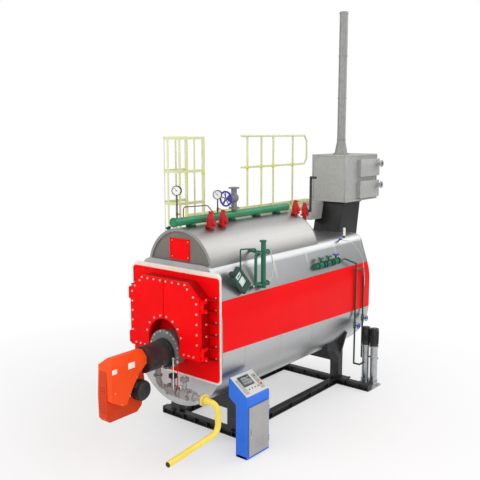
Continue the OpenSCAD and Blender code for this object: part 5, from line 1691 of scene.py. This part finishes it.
@dataclass
class Platform:
    """The platform and ladder: kick plates, sleeves, post feet and fasteners."""

    rail_r: float = 21 * MM
    rail_start: float = 1.545
    mid_rail: float = 0.905
    post_shares: tuple[float, ...] = (0.084, 0.284, 0.46, 0.766)
    low_hoops: tuple[float, ...] = (2.325, 3.025, 3.645)

    def build(self) -> None:
        """Builds the platform's small pieces."""
        for node in ("platform_deck", "platform_brackets", "ladder", "ladder_cage"):
            soften(node, 2 * MM)
        deck, rail = Box.of("platform_deck"), Box.of("platform_railing")
        self._edges(deck)
        self._sleeves(deck, rail)
        self._ladder(deck)

    def _edges(self, deck: Box) -> None:
        """Builds the deck's kick plates and tread bars."""
        piece = Piece("kick_plates")
        outer = vec(deck.lo.x + 4 * MM, deck.mid.y, deck.hi.z + 50 * MM)
        piece.block(RAIL, outer, (6 * MM, deck.size.y - 0.02, 0.1), 2 * MM)
        back = vec(deck.mid.x, deck.hi.y - 4 * MM, deck.hi.z + 50 * MM)
        piece.block(RAIL, back, (deck.size.x - 0.02, 6 * MM, 0.1), 2 * MM)
        piece.done()
        treads = []
        for y in spread(deck.lo.y + 0.05, deck.hi.y - 0.05, 90):
            treads.append(spot(deck.mid.x, y, deck.hi.z + 1 * MM))
        bars("deck_tread_bars", treads, vec(deck.size.x - 0.06, 7 * MM, 3 * MM), DECK)

    def _sleeves(self, deck: Box, rail: Box) -> None:
        """Builds the yellow sleeves at the rail joints and the posts' feet."""
        x = rail.lo.x + self.rail_r
        y0, y1 = deck.lo.y + self.rail_start, deck.hi.y - self.rail_r - 10 * MM
        mid_z = deck.hi.z + self.mid_rail
        top_z = rail.hi.z - self.rail_r
        feet = Piece("post_feet")
        sleeves = Piece("rail_sleeves")
        heads = []
        for share in self.post_shares:
            y = y0 + share * (y1 - y0)
            upright = placed(vec(x, y, mid_z - 50 * MM))
            sleeves.disc(SLEEVE, upright, self.rail_r + 5 * MM, 0.1, 4 * MM)
            for side in (-1, 1):
                foot = vec(x, y + side * 20 * MM, mid_z)
                sleeves.disc(SLEEVE, placed(foot, Y * side), self.rail_r + 5 * MM, 60 * MM, 4 * MM)
            collar = placed(vec(x, y, top_z - 70 * MM))
            sleeves.disc(RAIL, collar, self.rail_r + 3 * MM, 50 * MM, 3 * MM)
            feet.block(RAIL, spot(x + 12 * MM, y, deck.hi.z + 5 * MM), (72 * MM, 0.11, 10 * MM), 2 * MM)
            heads += [vec(x + 32 * MM, y + side * 38 * MM, deck.hi.z + 10 * MM) for side in (-1, 1)]
        sleeves.done()
        feet.done()
        bolts("post_foot_bolts", heads, UP, Thread.M8)

    def _ladder(self, deck: Box) -> None:
        """Builds the bolts of the cage's hoops and the ladder's yellow bands."""
        ladder, cage = Box.of("ladder"), Box.of("ladder_cage")
        places = []
        for z in (*self.low_hoops, deck.hi.z + 0.93, cage.hi.z - 25 * MM):
            for x in (cage.lo.x, cage.hi.x):
                side = -1 if x < cage.mid.x else 1
                places.append(placed(vec(x, cage.hi.y - 0.03, z), X * side))
        rivets("cage_rivets", places, 8 * MM, SLEEVE)
        bands = Piece("stringer_bands")
        for x in (ladder.lo.x + 30 * MM, ladder.hi.x - 30 * MM):
            for z in (deck.hi.z + self.mid_rail, deck.hi.z + 0.05):
                bands.block(SLEEVE, spot(x, ladder.lo.y + 12 * MM, z), (66 * MM, 30 * MM, 0.09), 3 * MM)
        bands.done()


@dataclass
class Desk:
    """The control desk: screen, buttons, lamps, door lock, louvres and plinth."""

    console_run: float = 0.355
    console_rise: float = 0.254

    def build(self) -> None:
        """Builds the desk's small pieces."""
        soften("desk_cabinet", 6 * MM, segments=3)
        soften("desk_console", 4 * MM)
        soften("desk_door", 3 * MM, Body.DESK_DOOR)
        self._console()
        self._door()
        self._body()

    def _face(self) -> Matrix:
        """Returns the plane of the console: X to the right, Y up the slope, Z out of it."""
        console = Box.of("desk_console")
        length = math.hypot(self.console_run, self.console_rise)
        up = vec(-self.console_run / length, 0, self.console_rise / length)
        out = vec(self.console_rise / length, 0, self.console_run / length)
        middle = console.mid + out * 7 * MM
        return Matrix.Translation(middle) @ Matrix((Y, up, out)).transposed().to_4x4()

    def _console(self) -> None:
        """Builds the screen with its bezel, the buttons and the lamps."""
        face = self._face()
        piece = Piece("console_screen")
        screen = face @ spot(-0.035, 0.055, 0)
        piece.block(BLACK_PLASTIC, screen, (0.25, 0.19, 16 * MM), 4 * MM)
        piece.block(SCREEN, screen @ spot(0, 0, 7 * MM), (0.21, 0.15, 5 * MM), 1 * MM)
        for x in (-0.19, 0.19):
            piece.block(DESK_GREY, face @ spot(x, -0.02, 0), (0.09, 0.28, 6 * MM), 2 * MM)
        piece.done()
        marks = []
        for row in range(3):
            for column in range(4):
                at = vec(-0.072 + 0.048 * column, -0.045 + 0.045 * row, 9.6 * MM)
                marks.append(screen @ Matrix.Translation(at))
        bars("screen_fields", marks, vec(34 * MM, 12 * MM, 0.8 * MM), SCREEN_MARK)
        colours = (BLACK_PLASTIC, BLACK_PLASTIC, BRASS, BLACK_PLASTIC)
        buttons = Piece("console_buttons")
        for k, finish in enumerate(colours):
            at = face @ spot(-0.1 + 0.07 * k, -0.1, 0)
            buttons.disc(ZINC, at, 15 * MM, 6 * MM)
            buttons.disc(finish, at @ spot(0, 0, 5 * MM), 11 * MM, 7 * MM, 2 * MM)
        stop = face @ spot(0.19, -0.09, 3 * MM)
        buttons.disc(YELLOW, stop, 24 * MM, 5 * MM)
        buttons.disc(RED, stop @ spot(0, 0, 5 * MM), 17 * MM, 18 * MM, 4 * MM)
        for k in range(3):
            lamp = face @ spot(0.19, 0.08 - 0.05 * k, 3 * MM)
            buttons.disc((GREEN, YELLOW, RED)[k], lamp, 11 * MM, 10 * MM, 3 * MM)
        buttons.done()

    def _door(self) -> None:
        """Builds the door's lock plate and its louvres, which swing with it."""
        door = Box.of("desk_door")
        x = door.hi.x - 16 * MM
        piece = Piece("desk_door_lock", Body.DESK_DOOR)
        at = vec(x, door.lo.y + 42 * MM, door.mid.z - 0.09)
        piece.disc(ZINC, placed(at, X), 12 * MM, 6 * MM)
        piece.done()
        low = [spot(x, door.mid.y, door.lo.z + 0.1 + 0.028 * k) for k in range(6)]
        bars("desk_door_louvres", low, vec(6 * MM, 0.2, 9 * MM), DESK_GREY, Body.DESK_DOOR)

    def _body(self) -> None:
        """Builds the plinth and the side vents."""
        desk = Box.of("desk_cabinet")
        piece = Piece("desk_plinth")
        piece.block(BLACK_PLASTIC, spot(desk.hi.x - 0.13, desk.mid.y - 10 * MM, 20 * MM),
                    (0.2, desk.size.y - 0.02, 40 * MM), 3 * MM)
        piece.done()
        side = [spot(desk.hi.x - 0.13, desk.lo.y - 1 * MM, 0.28 + 0.03 * k) for k in range(7)]
        bars("desk_side_vents", side, vec(0.1, 4 * MM, 9 * MM), BLUE)


@dataclass
class Studio:
    """The floor, the lights and the camera."""

    place: Vector = field(default_factory=lambda: vec(7.3914, -8.1551, 4.888))
    heading_deg: float = 39.167
    tilt_deg: float = 8.91
    view_px: float = 240.0
    focal_px: float = 344.436
    sensor_mm: float = 36.0
    lamp_power: float = 520.0
    wall_glow: float = 0.12
    plain_light: float = 0.62

    def build(self) -> None:
        """Builds the studio in order."""
        self._camera()
        self._world()
        self._floor()
        self._walls()
        self._lamps()

    def _camera(self) -> None:
        """Puts the camera where the photograph was taken from."""
        data = bpy.data.cameras.new("camera")
        data.sensor_width = self.sensor_mm
        data.lens = self.sensor_mm * self.focal_px / self.view_px
        data.clip_end = 200
        camera = linked("camera", data)
        camera.location = self.place
        camera.rotation_euler = Euler((math.radians(90 - self.tilt_deg), 0, math.radians(self.heading_deg)))
        bpy.context.scene.camera = camera

    @staticmethod
    def _seen(tree: Tree) -> Socket:
        """Returns a socket that is 1 for camera, mirror and glass rays."""
        rays = add_node(tree, "ShaderNodeLightPath")
        first = wire(
            tree, "ShaderNodeMath", {"operation": "MAXIMUM"},
            {0: rays.outputs["Is Camera Ray"], 1: rays.outputs["Is Glossy Ray"]},
        )
        return wire(
            tree, "ShaderNodeMath", {"operation": "MAXIMUM"}, {0: first, 1: rays.outputs["Is Transmission Ray"]}
        )

    def _world(self) -> None:
        """Makes a white backdrop that lights the object at a plain level."""
        world = bpy.data.worlds.new("studio")
        bpy.context.scene.world = world
        tree = cleared(world)
        pure = linear("#FFFFFF")
        plain, white = (
            wire(tree, "ShaderNodeBackground", {"Color": pure, "Strength": strength})
            for strength in (self.plain_light, 1.0)
        )
        mixed = wire(tree, "ShaderNodeMixShader", {}, {0: self._seen(tree), 1: plain, 2: white})
        add_node(tree, "ShaderNodeOutputWorld", {}, {"Surface": mixed})

    def _floor(self) -> None:
        """Makes the pale floor, which fades into the white backdrop away from the boiler."""
        mesh = bpy.data.meshes.new("floor")
        reach = 60.0
        corners = [(x * reach, y * reach, 0) for x, y in ((-1, -1), (1, -1), (1, 1), (-1, 1))]
        mesh.from_pydata(corners, [], [(0, 1, 2, 3)])
        floor = linked("floor", mesh)
        floor.location.z = -1 * MM
        material = bpy.data.materials.new("pale_floor")
        tree = cleared(material)
        matt = wire(tree, "ShaderNodeBsdfDiffuse", {"Color": linear("#F7F7F7")})
        white = wire(tree, "ShaderNodeEmission", {"Color": linear("#FFFFFF"), "Strength": 1.0})
        place = add_node(tree, "ShaderNodeTexCoord").outputs["Object"]
        far = add_node(tree, "ShaderNodeVectorMath", {"operation": "LENGTH"}, {0: place}).outputs["Value"]
        settings = {"From Min": 2.5, "From Max": 7.5, "To Min": 0.45, "To Max": 1.0}
        fade = wire(tree, "ShaderNodeMapRange", settings, {"Value": far})
        links = {0: fade, 1: self._seen(tree)}
        seen = wire(tree, "ShaderNodeMath", {"operation": "MULTIPLY"}, links)
        mixed = wire(tree, "ShaderNodeMixShader", {}, {0: seen, 1: matt, 2: white})
        add_node(tree, "ShaderNodeOutputMaterial", {}, {"Surface": mixed})
        mesh.materials.append(material)

    def _walls(self) -> None:
        """Stands grey walls round the studio that only polished sheet shows, palest at their tops."""
        reach, height, sides = 30.0, 20.0, 48
        angles = [2 * math.pi * k / sides for k in range(sides)]
        corners = [(reach * math.cos(a), reach * math.sin(a)) for a in angles]
        mesh = bpy.data.meshes.new("studio_walls")
        points = [(x, y, 0.2) for x, y in corners] + [(x, y, height) for x, y in corners]
        faces = [(k, (k + 1) % sides, sides + (k + 1) % sides, sides + k) for k in range(sides)]
        mesh.from_pydata(points, [], faces)
        walls = linked("studio_walls", mesh)
        for ray in ("camera", "diffuse", "shadow", "transmission", "volume_scatter"):
            setattr(walls, f"visible_{ray}", False)
        material = bpy.data.materials.new("grey_wall")
        tree = cleared(material)
        place = add_node(tree, "ShaderNodeTexCoord").outputs["Object"]
        rise = add_node(tree, "ShaderNodeSeparateXYZ", {}, {0: place}).outputs["Z"]
        settings = {"From Min": 0.0, "From Max": height, "To Min": self.wall_glow, "To Max": 1.0}
        glow = wire(tree, "ShaderNodeMapRange", settings, {"Value": rise})
        light = add_node(tree, "ShaderNodeEmission", {"Color": linear("#FFFFFF")}, {"Strength": glow})
        add_node(tree, "ShaderNodeOutputMaterial", {}, {"Surface": light.outputs[0]})
        mesh.materials.append(material)

    def _lamps(self) -> None:
        """Hangs a large soft key over the camera's left and a weaker fill on its right."""
        target = vec(0, 1.2, 1.8)
        for name, at, size, power in (
            ("key", vec(-3.5, -9.0, 9.0), 11.0, self.lamp_power),
            ("fill", vec(9.0, -3.0, 6.0), 10.0, self.lamp_power * 0.6),
            ("rim", vec(4.5, 9.0, 9.0), 9.0, self.lamp_power * 0.7),
        ):
            data = bpy.data.lights.new(name, "AREA")
            data.size = size
            data.energy = power
            lamp = linked(name, data)
            lamp.location = at
            lamp.rotation_euler = (target - at).to_track_quat("-Z", "Y").to_euler()


def dress_nodes(nodes: dict[str, bpy.types.Object]) -> None:
    """Gives each of the frame's nodes its finish.

    Args:
        nodes: The frame's objects by name.
    """
    for name, node in nodes.items():
        node.data.materials.clear()
        node.data.materials.append(NODE_FINISHES[name].material())


def main() -> None:
    """Builds the boiler's small pieces and the studio in order."""
    logging.basicConfig(level=logging.INFO, format="%(message)s")
    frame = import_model()
    dress_nodes(frame["nodes"])
    studio = Studio()
    parts: list[Callable[[], None]] = [
        studio.build, BaseFrame().build, Casing().build, Smokebox().build, Burner().build, GasTrain().build,
        SteamFittings().build, WaterFittings().build, Flue().build, Platform().build, Desk().build,
    ]
    for build in parts:
        build()
        log.info("built %s", build.__qualname__)
    bpy.context.scene.view_settings.view_transform = "Standard"


if __name__ == "__main__":
    main()
